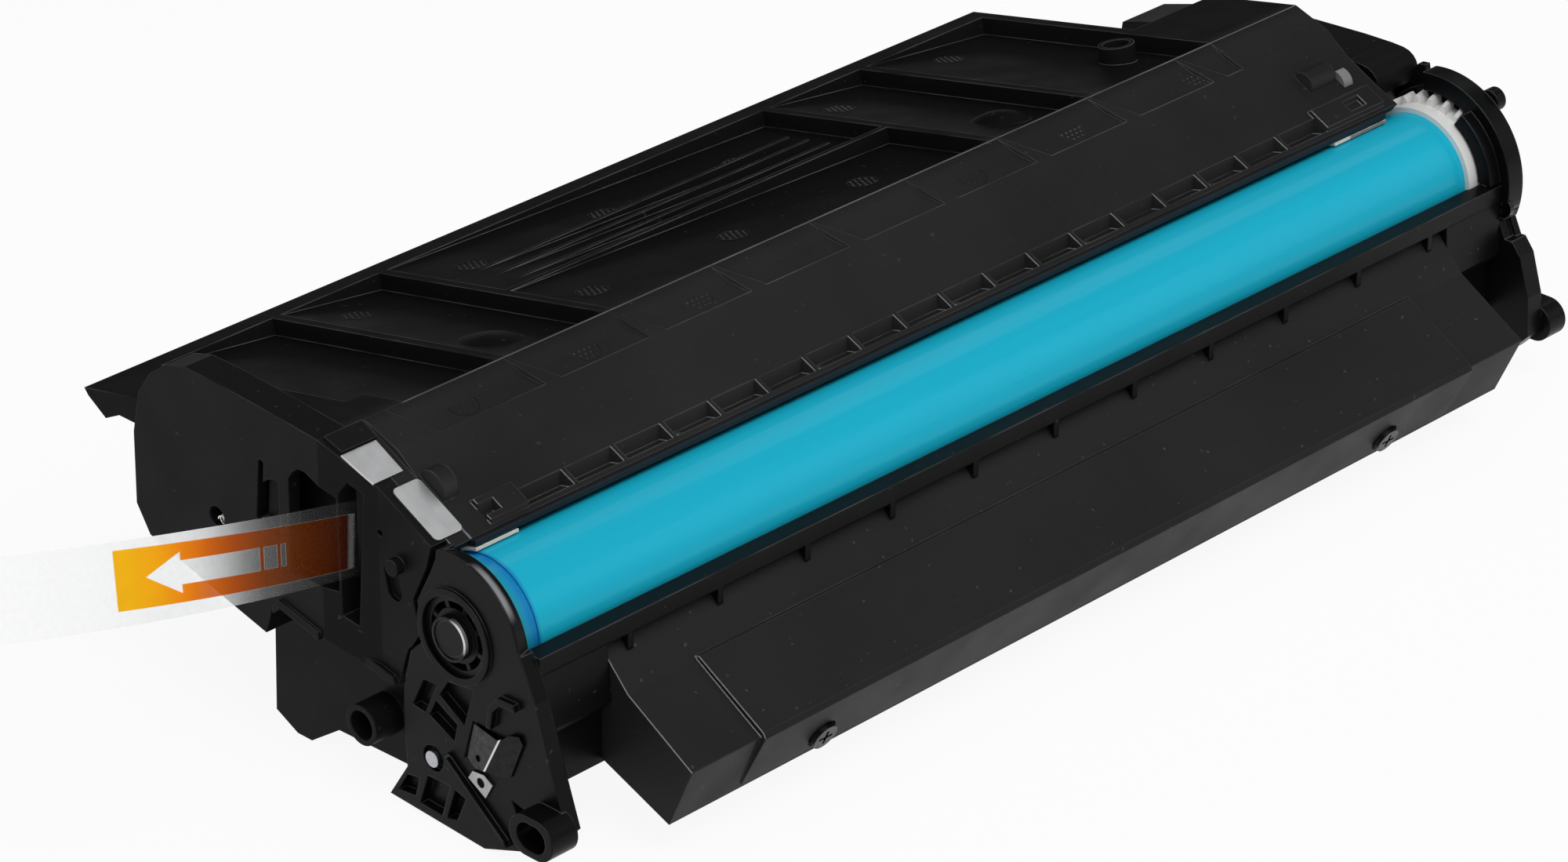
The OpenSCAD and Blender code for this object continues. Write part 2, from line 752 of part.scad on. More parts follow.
// Across the tape: up, leaning back by the tilt
function tape_up(i) = let (d = tape_dir(i), side = unit2(cross(d, [0, 0, 1])),
    up = unit2(cross(side, d))) up * cos(tape_tilt(i)) + side * sin(tape_tilt(i));
function tape_side(i) = unit2(cross(tape_dir(i), tape_up(i)));
function tape_ring(i) = let (c = tape_mid(i), u = tape_up(i) * tape_w / 2,
    n = tape_side(i) * tape_t / 2) [c + u + n, c - u + n, c - u - n, c + u - n];

module seal_tape() {
    color("#f08a3c")
    polyhedron(
        points = [for (i = [0 : tape_n - 1]) for (p = tape_ring(i)) p],
        faces = concat(
            [[3, 2, 1, 0]],
            [for (i = [0 : tape_n - 2]) for (k = [0 : 3])
                [4 * i + k, 4 * i + (k + 1) % 4, 4 * i + 4 + (k + 1) % 4]],
            [for (i = [0 : tape_n - 2]) for (k = [0 : 3])
                [4 * i + k, 4 * i + 4 + (k + 1) % 4, 4 * i + 4 + k]],
            [[4 * tape_n - 4, 4 * tape_n - 3, 4 * tape_n - 2, 4 * tape_n - 1]]
        )
    );
}

foil_t = 0.4;
lower_slope = atan(front_rise);

module contact_plate_upper() {
    color("#dfe1e2")
    translate([0, 18.3, roof_front(18.3) + 0.1])
        rotate([lower_slope, 0, 0])
            linear_extrude(height = foil_t)
                polygon([[x_plate0 - 0.5, 0], [x_plate0 + 6, 0], [x_plate0 + 6, 7.3],
                    [x_plate0 - 1.6, 7.3]]);
}

module contact_plate_lower() {
    color("#e6e8e9")
    translate([0, 8.2, roof_front(8.2) + 0.08])
        rotate([lower_slope, 0, 0])
            translate([0, -3, 0])
                linear_extrude(height = foil_t)
                    union() {
                        translate([x_plate0 + 1.4, 1])
                            square([6.1, 10]);
                        translate([x_plate0 + 2.4, 0])
                            square([4.1, 12]);
                        for (c = [[2.4, 1], [6.5, 1], [2.4, 11], [6.5, 11]])
                            translate([x_plate0 + c[0], c[1]])
                                circle(r = 1);
                    }
}

// Bright sensor plate seen through the round hole of the left cover
module sensor_contact() {
    color("#c9b98a")
    along_x(x_cover0 + cover_t + 0.4, x_unit - 0.1)
        translate([53.6, 2.3])
            circle(r = 2.6);
}

module fill_plug() {
    color("#3a3d41") {
        bar_x(x_tank1 - wall, x_tank1, 6.95, fill_c);
        bar_x(x_tank1, x_tank1 + 1.2, 8, fill_c);
    }
}

// ---------- gears and rollers ----------

// Half tooth angle at radius r for an involute of the given base radius
function inv_angle(r, base) = let (a = acos(min(1, base / r))) tan(a) * 180 / PI - a;

// Tooth outline points of one flank, from root to tip
function flank(teeth, sign) = let (
    rp = pitch_r(teeth), base = rp * cos(20),
    r0 = rp - addendum - 0.25, r1 = rp + addendum,
    half = 90 / teeth - backlash / rp * 28.6 + inv_angle(rp, base))
    [for (k = [0 : 3]) let (r = r0 + (r1 - r0) * k / 3,
        a = half - inv_angle(max(r, base), base))
        [r * cos(sign * a), r * sin(sign * a)]];

module gear_outline(teeth) {
    rp = pitch_r(teeth);
    root = rp - addendum - 0.25;
    tooth = concat([[0, -0.01]], flank(teeth, -1),
        [for (k = [3 : -1 : 0]) flank(teeth, 1)[k]]);
    polygon([for (i = [0 : teeth - 1]) each
        [for (p = concat(flank(teeth, -1), [for (k = [3 : -1 : 0]) flank(teeth, 1)[k]]))
            [p[0] * cos(360 / teeth * i) - p[1] * sin(360 / teeth * i),
             p[0] * sin(360 / teeth * i) + p[1] * cos(360 / teeth * i)]]]);
}

// Helical gear along X; phase is the direction of one tooth, hand is 1 or -1
module helical_gear(x0, w, teeth, c, phase, hand) {
    translate([x0, c[0], c[1]])
        rotate([90, 0, 90])
            rotate(phase)
                linear_extrude(height = w, slices = 4,
                    twist = hand * w * tan(helix) / pitch_r(teeth) * 180 / PI)
                    gear_outline(teeth);
}

// Phases: a tooth of one gear meets a space of the next
drum_phase = dev_dir;
dev_phase = dev_dir + 180 + 180 / dev_teeth;
// direction of the idler seen from the developer gear, in its own tooth pitch
dev_at_idler = (idler_dir - dev_phase) * dev_teeth / idler_teeth;
idler_phase = idler_dir + 180 + 180 / idler_teeth + dev_at_idler;
idler_at_agit = (0 - idler_phase) * idler_teeth / agit_teeth;
agit_phase = 180 + 180 / agit_teeth + idler_at_agit;

module magnet_core() {
    color("#2b2b2e") {
        bar_x(x_unit + wall + 4, x_side0 - wall - 5, magnet_r, dev_c);
        bar_x(x_unit, x_unit + wall + 4 + eps, magnet_shaft_r, dev_c);
        bar_x(x_side0 - wall - 5 - eps, x_side0 - wall - 1, 2, dev_c);
    }
}

module developer_sleeve() {
    color("#3b3e42")
    difference() {
        union() {
            bar_x(x_unit + wall + 1, x_side0 - wall - 1, dev_r, dev_c);
            bar_x(x_side0 - wall - 1 - eps, x_gear1, journal_r, dev_c);
        }
        bar_x(x_unit + wall + 3, x_side0 - wall - 4, dev_r - sleeve_wall, dev_c);
        bar_x(x_unit, x_unit + wall + 3 + eps, magnet_shaft_r + run_fit, dev_c);
        bar_x(x_side0 - wall - 5, x_side0 - wall, 2 + run_fit, dev_c);
    }
}

module developer_gear() {
    color("#efece2")
    difference() {
        helical_gear(x_rim1 + 0.2, gear_w - 0.2, dev_teeth, dev_c, dev_phase, -1);
        bar_x(x_rim1 - over, x_gear1 + over, journal_r, dev_c);
    }
}

module idler_gear() {
    color("#efece2")
    difference() {
        union() {
            helical_gear(x_rim1 + 0.2, gear_w - 0.2, idler_teeth, idler_c, idler_phase, 1);
            bar_x(x_rim1 + 0.2, x_gear1, post_r + 2, idler_c);
        }
        tube_x(x_gear1 - 1.2, x_gear1 + over, pitch_r(idler_teeth) - 2.6, post_r + 2,
            idler_c);
        bar_x(x_rim1 - over, x_gear1 + over, post_r + run_fit, idler_c);
    }
}

// Collars that the film is fixed to
collar_r = post_r + 1.2;

module agitator_shaft() {
    color("#d9d6cc") {
        bar_x(x_unit + 0.9, x_gear1, post_r, agit_c);
        for (x = [x_unit + 20, (x_unit + x_tank1) / 2, x_tank1 - 22])
            bar_x(x, x + 3, collar_r, agit_c);
    }
}

module agitator_film() {
    color("#cfd6d6")
    along_x(x_unit + wall + 6, x_tank1 - wall - 6)
        translate([agit_c[0] + 0.3, agit_c[1] + collar_r])
            rotate(14)
                square([11, 0.3]);
}

module agitator_gear() {
    color("#efece2")
    difference() {
        helical_gear(x_rim1 + 0.2, gear_w - 0.2, agit_teeth, agit_c, agit_phase, -1);
        tube_x(x_gear1 - 1.2, x_gear1 + over, pitch_r(agit_teeth) - 2.6, post_r + 2,
            agit_c);
        bar_x(x_rim1 - over, x_gear1 + over, post_r, agit_c);
    }
}

// ---------- drum ----------

module drum_tube() {
    color("#19a7c9")
    tube_x(x_tube0, x_tube1, drum_r, drum_r - drum_wall);
}

module drum_left_flange() {
    color("#26292d")
    difference() {
        union() {
            bar_x(x_unit, x_tube0, drum_r - 0.3);
            bar_x(x_tube0 - eps, x_tube0 + 9, drum_r - drum_wall);
        }
        tube_x(x_tube0 - 2.5, x_tube0 + 9 + over, drum_r - drum_wall - 1.5, pin_r + 2);
        bar_x(x_unit - over, x_tube0 + 9 + over, pin_r + run_fit);
    }
}

module drum_gear_flange() {
    color("#f2efe6")
    difference() {
        union() {
            bar_x(x_tube1 - 8, x_tube1 + eps, drum_r - drum_wall);
            bar_x(x_tube1, x_rim1, rim_r);
            helical_gear(x_rim1, drum_gear_w, drum_teeth, [0, 0], drum_phase, 1);
            bar_x(x_drum_gear1 - eps, x_wall1 + 0.2, hub_r);
            // three-sided twisted coupling
            translate([x_wall1 + 0.2 - eps, 0, 0])
                rotate([90, 0, 90])
                    linear_extrude(height = coupling_proud - 0.2, twist = 24, slices = 4)
                        polygon([for (k = [0 : 2]) each
                            [for (a = [-14, 14]) [5.6 * cos(120 * k + a),
                                5.6 * sin(120 * k + a)]]]);
        }
        tube_x(x_tube1 - 8 - over, x_tube1 + 3, drum_r - drum_wall - 1.5, 5);
        bar_x(x_tube1 - 8 - over, x_tube1 + 4, 3.4);
    }
}

// ---------- drum unit frame ----------

lip_y = [-16.7, -13.1];
lip_top = 1.15;
web_t = 0.9;
bin_back_y = -14.4;

// Sunk cells of the left plate: outline points of Y and Z
cell_sections = [
    [[8.1, -11.3], [4.9, -11.1], [8, -17.5], [11, -17.2]],
    [[2.2, -9.4], [-3.9, -8.5], [-1.5, -16.2], [4.4, -12.8]],
    [[7, -17.6], [5.2, -14.1], [0.2, -16.6], [1, -20.3]],
    [[12.9, -31.4], [15.3, -35.3], [11, -34.8], [9.9, -30.8]],
    [[7.8, -29.5], [10, -35.7], [4.6, -35.9], [2.4, -29.3]],
    [[1.2, -29.5], [3.4, -35.8], [0.9, -35.2], [-1.4, -30.2]],
    [[-12.4, -25.7], [-13.9, -28.8], [-16.3, -26.5]]
];

floor_section = [
    [bin_back_y, -24.8], [bin_back_y + 1.6, -24.8], [-7, -28.4], [10, -28.4], [10, -30.2],
    [-7.6, -30.2], [bin_back_y, -25.6]
];

module drum_frame() {
    color("#222529")
    difference() {
        union() {
            along_x(x_plate0, x_plate1)
                plate_outline();
            // guide boss at the lower front corner
            along_x(-3.3, x_plate0 + 1)
                obround(guide_c, guide_c + [guide_shift, 0], guide_r);
            // collar round the bearing
            bar_x(x_plate0 - 0.7, x_plate1, bearing_r + 1.3);
            // front lip with its web
            along_x(x_plate1 - eps, x_housing0)
                translate([lip_y[0], lip_top - lip_t])
                    square([lip_y[1] - lip_y[0], lip_t]);
            along_x(x_plate1 - eps, x_housing0)
                translate([lip_y[1] - web_t, -9])
                    square([web_t, 9]);
            for (i = [0 : gusset_count - 1])
                translate([gusset_first + i * gusset_pitch, 0, 0])
                    along_x(0, gusset_w)
                        polygon([[lip_y[0], lip_top - lip_t + eps],
                            [lip_y[1] - web_t + eps, lip_top - lip_t + eps],
                            [lip_y[1] - web_t + eps, lip_top - lip_t - 0.4],
                            [lip_y[0], -5.2]]);
            // brackets between the end plates and the bin
            for (x = [[x_plate1 - eps, bin_x0 - 0.3], [bin_x1 + 0.3, x_housing0]])
                along_x(x[0], x[1])
                    polygon([[-16.5, lip_top - lip_t + eps], [-14, lip_top - lip_t + eps],
                        [-14, -8.8], [-14.7, -9.4], [-14.7, -15.4], [-17.2, -12.8]]);
            // back wall of the waste bin and floor under the charge roller
            along_x(x_plate1 - eps, x_housing0)
                polygon([[bin_back_y, -15.2], [bin_back_y + 1.6, -15.2],
                    [bin_back_y + 1.6, -25.2], [bin_back_y, -25.6]]);
            along_x(x_unit + 3.3, x_housing0 - 4.5)
                polygon(floor_section);
            along_x(x_unit + 3.3, x_housing0 - 4.5)
                translate([8.8, -30.2])
                    square([1.2, 8.2]);
            along_x(x_plate1 - eps, x_unit + 3.4)
                intersection() {
                    polygon(floor_section);
                    translate([-20, -40])
                        square([20, 40]);
                }
            // diagonal rib and arch on the plate
            along_x(x_plate0 - 1.2, x_plate0 + 1)
                polygon([[2.6, -22.9], [1.8, -23.7], [-12, -34.6], [-11.4, -33.6]]);
            along_x(x_plate0 - 1.2, x_plate0 + 1)
                polygon([[-14.6, -6.6], [-10.7, -6.8], [-8.6, -9.2], [-8, -13.3],
                    [-9, -13.3], [-9.6, -9.8], [-11.3, -8], [-14.9, -7.8]]);
        }
        for (s = cell_sections)
            along_x(x_plate0 - over, x_plate0 + 1.8)
                polygon(s);
        // taper of the round edge
        intersection() {
            difference() {
                bar_x(x_plate0 + 0.4, x_plate1 + over, plate_r + 3);
                translate([x_plate0 + 0.4 - eps, 0, 0])
                    rotate([0, 90, 0])
                        cylinder(r1 = plate_r, r2 = plate_r - 1.6, h = plate_t + over);
            }
            translate([x_plate0, -30, 2])
                cube([plate_t + 2 * over, 33, 30]);
        }
        bar_x(-over, x_unit, bearing_r + 0.02);
        along_x(-3.3 - over, x_plate1 - 0.8)
            obround(guide_c + [0.5, 0], guide_c + [guide_shift - 0.6, 0], guide_bore_r);
        bar_x(x_plate0 - over, x_unit, hinge_r, hinge_c);
        // pocket of the round pin seat
        bar_x(x_plate0 - over, x_plate0 + 1.2, 3, hinge_c);
        // room for the rim and the gear
        bar_x(x_tube1 - 1, x_rim1 - 0.5, rim_r + 0.5);
        bar_x(x_rim1 - 0.5 - eps, x_drum_gear1, ring_r - 0.1);
        // recess for the lower contact
        along_x(x_plate0 - over, x_plate0 + 0.4)
            polygon([[-3.7, -14.2], [-10.6, -14.9], [-7, -23.2], [-1.2, -22.3]]);
    }
    color("#222529")
        tube_x(x_plate0, x_plate0 + 1.6, 3, hinge_r + 0.9, hinge_c);
}

bearing_r = 7.2;
gusset_first = x_tube0 + 15.3;
gusset_count = floor((x_housing0 - 10 - gusset_first) / gusset_pitch) + 1;

bin_x0 = x_plate1 + 15.5;
bin_x1 = x_tube1 - 11.3;
panel_x0 = bin_x0 + 16;
panel_x1 = bin_x1 - 16;

bin_front_top = [-35.6, -18.9];
bin_front_foot = [-30.1, -31];

module waste_bin_cover() {
    front_dir = unit2(bin_front_foot - bin_front_top);
    color("#1b1d20")
    difference() {
        union() {
            along_x(bin_x0, bin_x1)
                polygon([[-14.5, -3.2], [-15.9, -4.9], [-20.9, -10.2], bin_front_top,
                    bin_front_foot, [bin_back_y - 0.1, -24.8]]);
            // raised panel
            along_x(panel_x0, panel_x1)
                polygon([[-20.4, -9.6], [-21.2, -10.2 + panel_step * 0.8],
                    bin_front_top + [-0.4, panel_step], bin_front_top + [-panel_step, 0],
                    bin_front_foot + [-panel_step * 0.8, 1.2], bin_front_foot + [0, 1.4],
                    [-21, -12]]);
            // small foot
            along_x((bin_x0 + bin_x1) / 2 - 92, (bin_x0 + bin_x1) / 2 - 84)
                polygon([[-26, -28.5], [-29.4, -30.4], [-28.4, -32.2], [-25, -30.6]]);
        }
        along_x(bin_x0 + bin_wall, bin_x1 - bin_wall)
            polygon([[bin_back_y + 1, -5], [-15.6, -7], [-20.2, -12.2],
                bin_front_top + [2.2, -0.5], bin_front_foot + [1.6, 2.6],
                [bin_back_y + 1, -23.4]]);
        for (x = bin_screw_x)
            translate([x, (bin_front_top + bin_front_foot)[0] / 2 + 1,
                (bin_front_top + bin_front_foot)[1] / 2 - 1.6])
                rotate([90 + atan2(front_dir[0], -front_dir[1]), 0, 0])
                    translate([0, 0, -3]) {
                        cylinder(r = 1.3, h = 8);
                        translate([0, 0, 3.2])
                            cylinder(r = 3, h = 5);
                    }
    }
}

bin_screw_x = [bin_x0 + 33.5, bin_x1 - 36];

module bin_screws() {
    front_dir = unit2(bin_front_foot - bin_front_top);
    color("#a9abad")
    for (x = bin_screw_x)
        translate([x, (bin_front_top + bin_front_foot)[0] / 2 + 1,
            (bin_front_top + bin_front_foot)[1] / 2 - 1.6])
            rotate([90 + atan2(front_dir[0], -front_dir[1]), 0, 0])
                difference() {
                    union() {
                        translate([0, 0, -3])
                            cylinder(r = 1.2, h = 4);
                        translate([0, 0, 0.3])
                            cylinder(r = 2.6, h = 1.4);
                    }
                    for (a = [0, 90])
                        rotate(a)
                            translate([-1.6, -0.3, 1])
                                cube([3.2, 0.6, 2]);
                }
}

nub_c = [-9.3, 14.7];

module right_drum_housing() {
    color("#22252a")
    difference() {
        union() {
            // ring round the drum gear, open towards the hopper
            along_x(x_housing0, x_wall1)
                intersection() {
                    circle(r = ring_r + ring_w);
                    polygon([[3.4, 18.4], [2.8, 14], [0, 0], [-16, -6], [-24, -6],
                        [-24, 24], [3.4, 24]]);
                }
            // shield over the front of the gear
            along_x(x_rim1 - 0.8, x_housing0 + eps)
                intersection() {
                    circle(r = ring_r + 1.3);
                    polygon([[0, 1.6], [-10.6, 17], [-24, 24], [-24, 1.6]]);
                }
            along_x(x_wall0, x_wall1)
                circle(r = ring_r);
            along_x(x_wall0, x_wall1)
                polygon([[-15.2, -2], [-24, -20], [-24.9, -27.9], [-20.9, -32.2], [-5, foot_z + 2],
                    [14, foot_z + 2], [13, -28], [8, -12]]);
            // lower plate
            along_x(x_housing0, x_wall1)
                polygon([[-13.2, -3], [-15.4, -4], [-18.2, -9.6], [-19.9, -9.5], [-22, -12.1],
                    [-24.4, -20], [-24.9, -27.9], [-20.9, -32.2], [-5, foot_z + 0.1],
                    [16, foot_z + 1.2], [14, -28], [9.6, -21], [-6, -17]]);
            along_x(x_wall1 - eps, x_wall1 + 4.8)
                obround(guide_c, guide_c + [guide_shift, 0], guide_r);
            bar_x(x_wall1 - eps, x_wall1 + 2.4, 2.3, nub_c);
        }
        bar_x(x_rim1 - 0.3, x_wall0, ring_r - 0.1);
        bar_x(x_rim1 - over, x_rim1, rim_r + 0.4);
        bar_x(x_wall0 - over, x_wall1 + over, hub_r + run_fit);
        along_x(x_wall1, x_wall1 + 4.8 + over)
            obround(guide_c + [0.5, 0], guide_c + [guide_shift - 0.6, 0], guide_bore_r);
        bar_x(x_housing0 - over, x_wall1 - 0.6, hinge_r, hinge_c);
        // sunk field of the lower plate
        along_x(x_wall1 - 1, x_wall1 + over)
            polygon([[-16, -18], [-18, -28], [-6, -33], [0, -33], [0, -20]]);
        // screw seat
        bar_x(x_housing0 - over, x_housing0 + 1.2, 2.1, screw_c);
        bar_x(x_housing0 - over, x_housing0 + 4, 1.2, screw_c);
    }
}

screw_c = [-17.1, -3.4];

module housing_screw() {
    color("#b4b6b8")
    difference() {
        union() {
            bar_x(x_housing0 + 0.1, x_housing0 + 1.2, 2, screw_c);
            bar_x(x_housing0 + 1.1, x_housing0 + 4, 1.15, screw_c);
        }
        for (a = [0, 90])
            translate([x_housing0 - over, screw_c[0], screw_c[1]])
                rotate([a, 0, 0])
                    translate([0, -1.3, -0.25])
                        cube([over + 0.6, 2.6, 0.5]);
    }
}

module left_drum_bearing() {
    color("#2d3035") {
        // ring, spokes and hub are one moulding on the metal-faced pin
        tube_x(x_plate0 + 0.3, x_plate1, bearing_r, bearing_r - 1.1);
        for (k = [0 : 7])
            translate([x_plate0 + 0.5, 0, 0])
                rotate([45 * k + 20, 0, 0])
                    translate([0, -0.45, pin_r + 0.6])
                        cube([plate_t - 0.5, 0.9, bearing_r - pin_r - 1.2]);
        tube_x(x_plate0 + 0.3, x_plate1, pin_r + 0.9, pin_r - 0.5);
        tube_x(x_plate1 - 0.6, x_plate1, bearing_r - 1 , pin_r);
        difference() {
            bar_x(0, x_tube0 + 7, pin_r);
            bar_x(-over, 0.3, pin_r - 0.5);
        }
        bar_x(0.3 - eps, 0.5, pin_r - 0.5);
    }
}

module charge_roller() {
    color("#17181a")
    tube_x(block_x[0] + charge_block_w + end_gap, block_x[1] - end_gap, charge_r,
        charge_shaft_r, charge_c);
}

block_x = [x_unit + 3.4, x_housing0 - 4.6 - charge_block_w];

module charge_roller_shaft() {
    color("#c4c7ca")
    bar_x(block_x[0], block_x[1] + charge_block_w, charge_shaft_r, charge_c);
}

module charge_roller_blocks() {
    color("#ecebe4")
    for (x = block_x)
        difference() {
            along_x(x, x + charge_block_w)
                translate([charge_c[0] - 3.6, charge_c[1] - 4.6])
                    square([7.2, 7]);
            bar_x(x - over, x + charge_block_w + over, charge_shaft_r + run_fit, charge_c);
        }
}

spring_r = 1.35;
spring_turns = 4;
spring_sides = 6;
spring_steps = 12;

module coil_spring(h) {
    n = spring_turns * spring_steps;
    rise = h - 2 * spring_wire_r;
    polyhedron(
        points = [for (i = [0 : n]) let (a = 360 * i / spring_steps, z = rise * i / n)
            for (k = [0 : spring_sides - 1]) let (b = 360 * k / spring_sides,
                r = spring_r + spring_wire_r * cos(b))
                [r * cos(a), r * sin(a), spring_wire_r + z + spring_wire_r * sin(b)]],
        faces = concat(
            [[for (k = [0 : spring_sides - 1]) k]],
            [for (i = [0 : n - 1]) for (k = [0 : spring_sides - 1])
                let (a = i * spring_sides, b = (k + 1) % spring_sides)
                [a + k, a + spring_sides + k, a + spring_sides + b, a + b]],
            [[for (k = [spring_sides - 1 : -1 : 0]) n * spring_sides + k]]
        )
    );
}

module charge_roller_springs() {
    color("#9fa3a7")
    for (x = block_x)
        translate([x + charge_block_w / 2, charge_c[0], -28.3])
            coil_spring(charge_c[1] - 4.6 + 28.3 - 0.1);
}

// Cleaning blade: axes from its edge on the drum back along the blade
blade_dir = 215.3;
blade_lean = -117;

module at_blade() {
    p = polar([0, 0], drum_r + drum_gap + 0.05, blade_dir);
    translate([0, p[0], p[1]])
        rotate([blade_lean, 0, 0])
            children();
}

module cleaning_blade() {
    color("#6b4a33")
    at_blade()
        along_x(x_tube0 + 2, x_tube1 - 2)
            translate([0, -1.4])
                square([6.4, 1.4]);
}

module cleaning_blade_stay() {
    color("#b6b9bd")
    at_blade()
        along_x(bin_x0 + bin_wall + 0.3, bin_x1 - bin_wall - 0.3)
            polygon([[3.8, -1.45], [7, -1.45], [7, 1.2], [8.1, 1.2], [8.1, -2.6],
                [3.8, -2.6]]);
}

// Ridge that the drum contact is folded along, and its direction off vertical
fold_c = [-10.8, -14.8];
fold_turn = 27.2;
fold_lean = 7;

// Strip bent over the ridge, leaning back on both sides of it
module folded_strip() {
    k = tan(fold_lean);
    translate([x_plate0 - 1, fold_c[0], fold_c[1]])
        rotate([fold_turn, 0, 0])
            translate([0, 0, -14])
                linear_extrude(height = 20)
                    polygon([[0, 0], [7.2 * k, 7.2], [7.2 * k + foil_t, 7.2], [foil_t, 0],
                        [6 * k + foil_t, -6], [6 * k, -6]]);
}

module drum_contact() {
    color("#9b9fa3")
    difference() {
        intersection() {
            folded_strip();
            along_x(x_plate0 - 2, x_plate0 + 2)
                polygon([[-4.2, -14.5], [-10.3, -14.9], [-11.8, -14.1], [-13.1, -12.9],
                    [-15.2, -12.4], [-16, -13.7], [-12.8, -21.1], [-9.7, -21.9],
                    [-7.6, -22], [-4.6, -22.6], [-2.6, -21.6]]);
        }
        bar_x(x_plate0 - over, x_plate0 + 1, 0.6, [-5.4, -20.4]);
    }
}

module contact_spring_tab() {
    color("#c9cbcd")
    along_x(x_plate0 - 0.5, x_plate0 - 0.05)
        difference() {
            polygon([[-3.7, -23.6], [-2.6, -25.3], [-6.7, -27.6], [-8.4, -24.5],
                [-6.4, -23.3]]);
            translate([-5.6, -25.1])
                circle(r = 0.9);
        }
}

module left_hinge_pin() {
    color("#b9bcc0")
    bar_x(x_plate0 - 0.4, x_unit + 2.6, hinge_r - 0.02, hinge_c);
}

module right_hinge_pin() {
    color("#b9bcc0")
    bar_x(x_housing0 - end_gap - 3.3, x_wall1 - 0.7, hinge_r - 0.02, hinge_c);
}

toner_hopper();
hopper_lid();
left_end_cover();
right_side_plate();
gear_cover();
drum_guard_bar();
doctor_blade_stay();
doctor_blade();
end_seals();
seal_tape();
contact_plate_upper();
contact_plate_lower();
sensor_contact();
fill_plug();
magnet_core();
developer_sleeve();
developer_gear();
idler_gear();
agitator_shaft();
agitator_film();
agitator_gear();
drum_frame();
waste_bin_cover();
right_drum_housing();
left_drum_bearing();
drum_tube();
drum_left_flange();
drum_gear_flange();
charge_roller();
charge_roller_shaft();
charge_roller_blocks();
charge_roller_springs();
cleaning_blade();
cleaning_blade_stay();
drum_contact();
contact_spring_tab();
left_hinge_pin();
right_hinge_pin();
bin_screws();
housing_screw();
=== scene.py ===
"""Looks for the toner cartridge: materials, printed tape, small pieces, stage, lights and camera.

Everything is in metres in the frame of the CAD model: origin at the free end of
the left drum pin, +X to the gear end, +Y to the back of the hopper, +Z up.
"""

import json
import math

import bpy
from mathutils import Matrix, Vector
from mathutils.bvhtree import BVHTree


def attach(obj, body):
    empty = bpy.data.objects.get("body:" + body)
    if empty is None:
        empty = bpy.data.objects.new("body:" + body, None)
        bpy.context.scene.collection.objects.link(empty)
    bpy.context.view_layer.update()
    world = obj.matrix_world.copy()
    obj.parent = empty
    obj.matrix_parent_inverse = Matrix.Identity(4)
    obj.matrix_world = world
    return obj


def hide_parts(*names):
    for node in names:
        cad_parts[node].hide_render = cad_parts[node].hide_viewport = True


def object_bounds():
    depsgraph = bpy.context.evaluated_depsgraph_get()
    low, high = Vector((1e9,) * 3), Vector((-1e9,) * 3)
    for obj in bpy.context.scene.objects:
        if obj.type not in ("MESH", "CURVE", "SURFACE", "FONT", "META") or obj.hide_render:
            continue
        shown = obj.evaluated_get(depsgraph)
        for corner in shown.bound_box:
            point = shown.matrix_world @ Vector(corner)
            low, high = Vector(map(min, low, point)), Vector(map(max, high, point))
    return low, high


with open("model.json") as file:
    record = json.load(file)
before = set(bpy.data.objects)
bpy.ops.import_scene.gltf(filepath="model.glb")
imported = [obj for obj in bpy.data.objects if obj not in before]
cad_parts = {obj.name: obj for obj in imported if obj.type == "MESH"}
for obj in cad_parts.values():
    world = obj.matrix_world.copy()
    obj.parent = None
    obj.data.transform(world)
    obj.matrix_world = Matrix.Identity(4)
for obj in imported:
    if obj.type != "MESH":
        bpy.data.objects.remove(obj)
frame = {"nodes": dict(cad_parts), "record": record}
cad_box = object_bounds()
NODES = frame["nodes"]
MM = 0.001
FLOOR_Z = cad_box[0][2]


# Camera

# Fitted to the photograph: focal length in pixels of a picture of that width, the
# camera's place in millimetres, how far it is turned from looking along +Y towards
# +X, and how far it is tilted down, in degrees
PICTURE_WIDTH = 2000.0
FOCAL_PIXELS = 7374.4
SENSOR_WIDTH = 36.0
CAMERA_AT = (-545.3, -606.9, 463.6)
CAMERA_TURN = 45.7564
CAMERA_TILT = 27.5932


def make_camera():
    """The photograph's view, through a long lens."""
    data = bpy.data.cameras.new("camera")
    data.sensor_fit = "HORIZONTAL"
    data.sensor_width = SENSOR_WIDTH
    data.lens = FOCAL_PIXELS / PICTURE_WIDTH * SENSOR_WIDTH
    data.clip_start = 0.05
    data.clip_end = 50.0
    cam = bpy.data.objects.new("camera", data)
    bpy.context.scene.collection.objects.link(cam)
    turned = Matrix.Rotation(-math.radians(CAMERA_TURN), 4, "Z")
    tilted = Matrix.Rotation(math.radians(90.0 - CAMERA_TILT), 4, "X")
    cam.matrix_world = Matrix.Translation(Vector(CAMERA_AT) * MM) @ turned @ tilted
    bpy.context.scene.camera = cam


# Node helpers

# Agreement of rounded and plain normal over which an edge's mask and its line rise
EDGE_MASK = (0.995, 0.86)
EDGE_LINE = (0.978, 0.91)


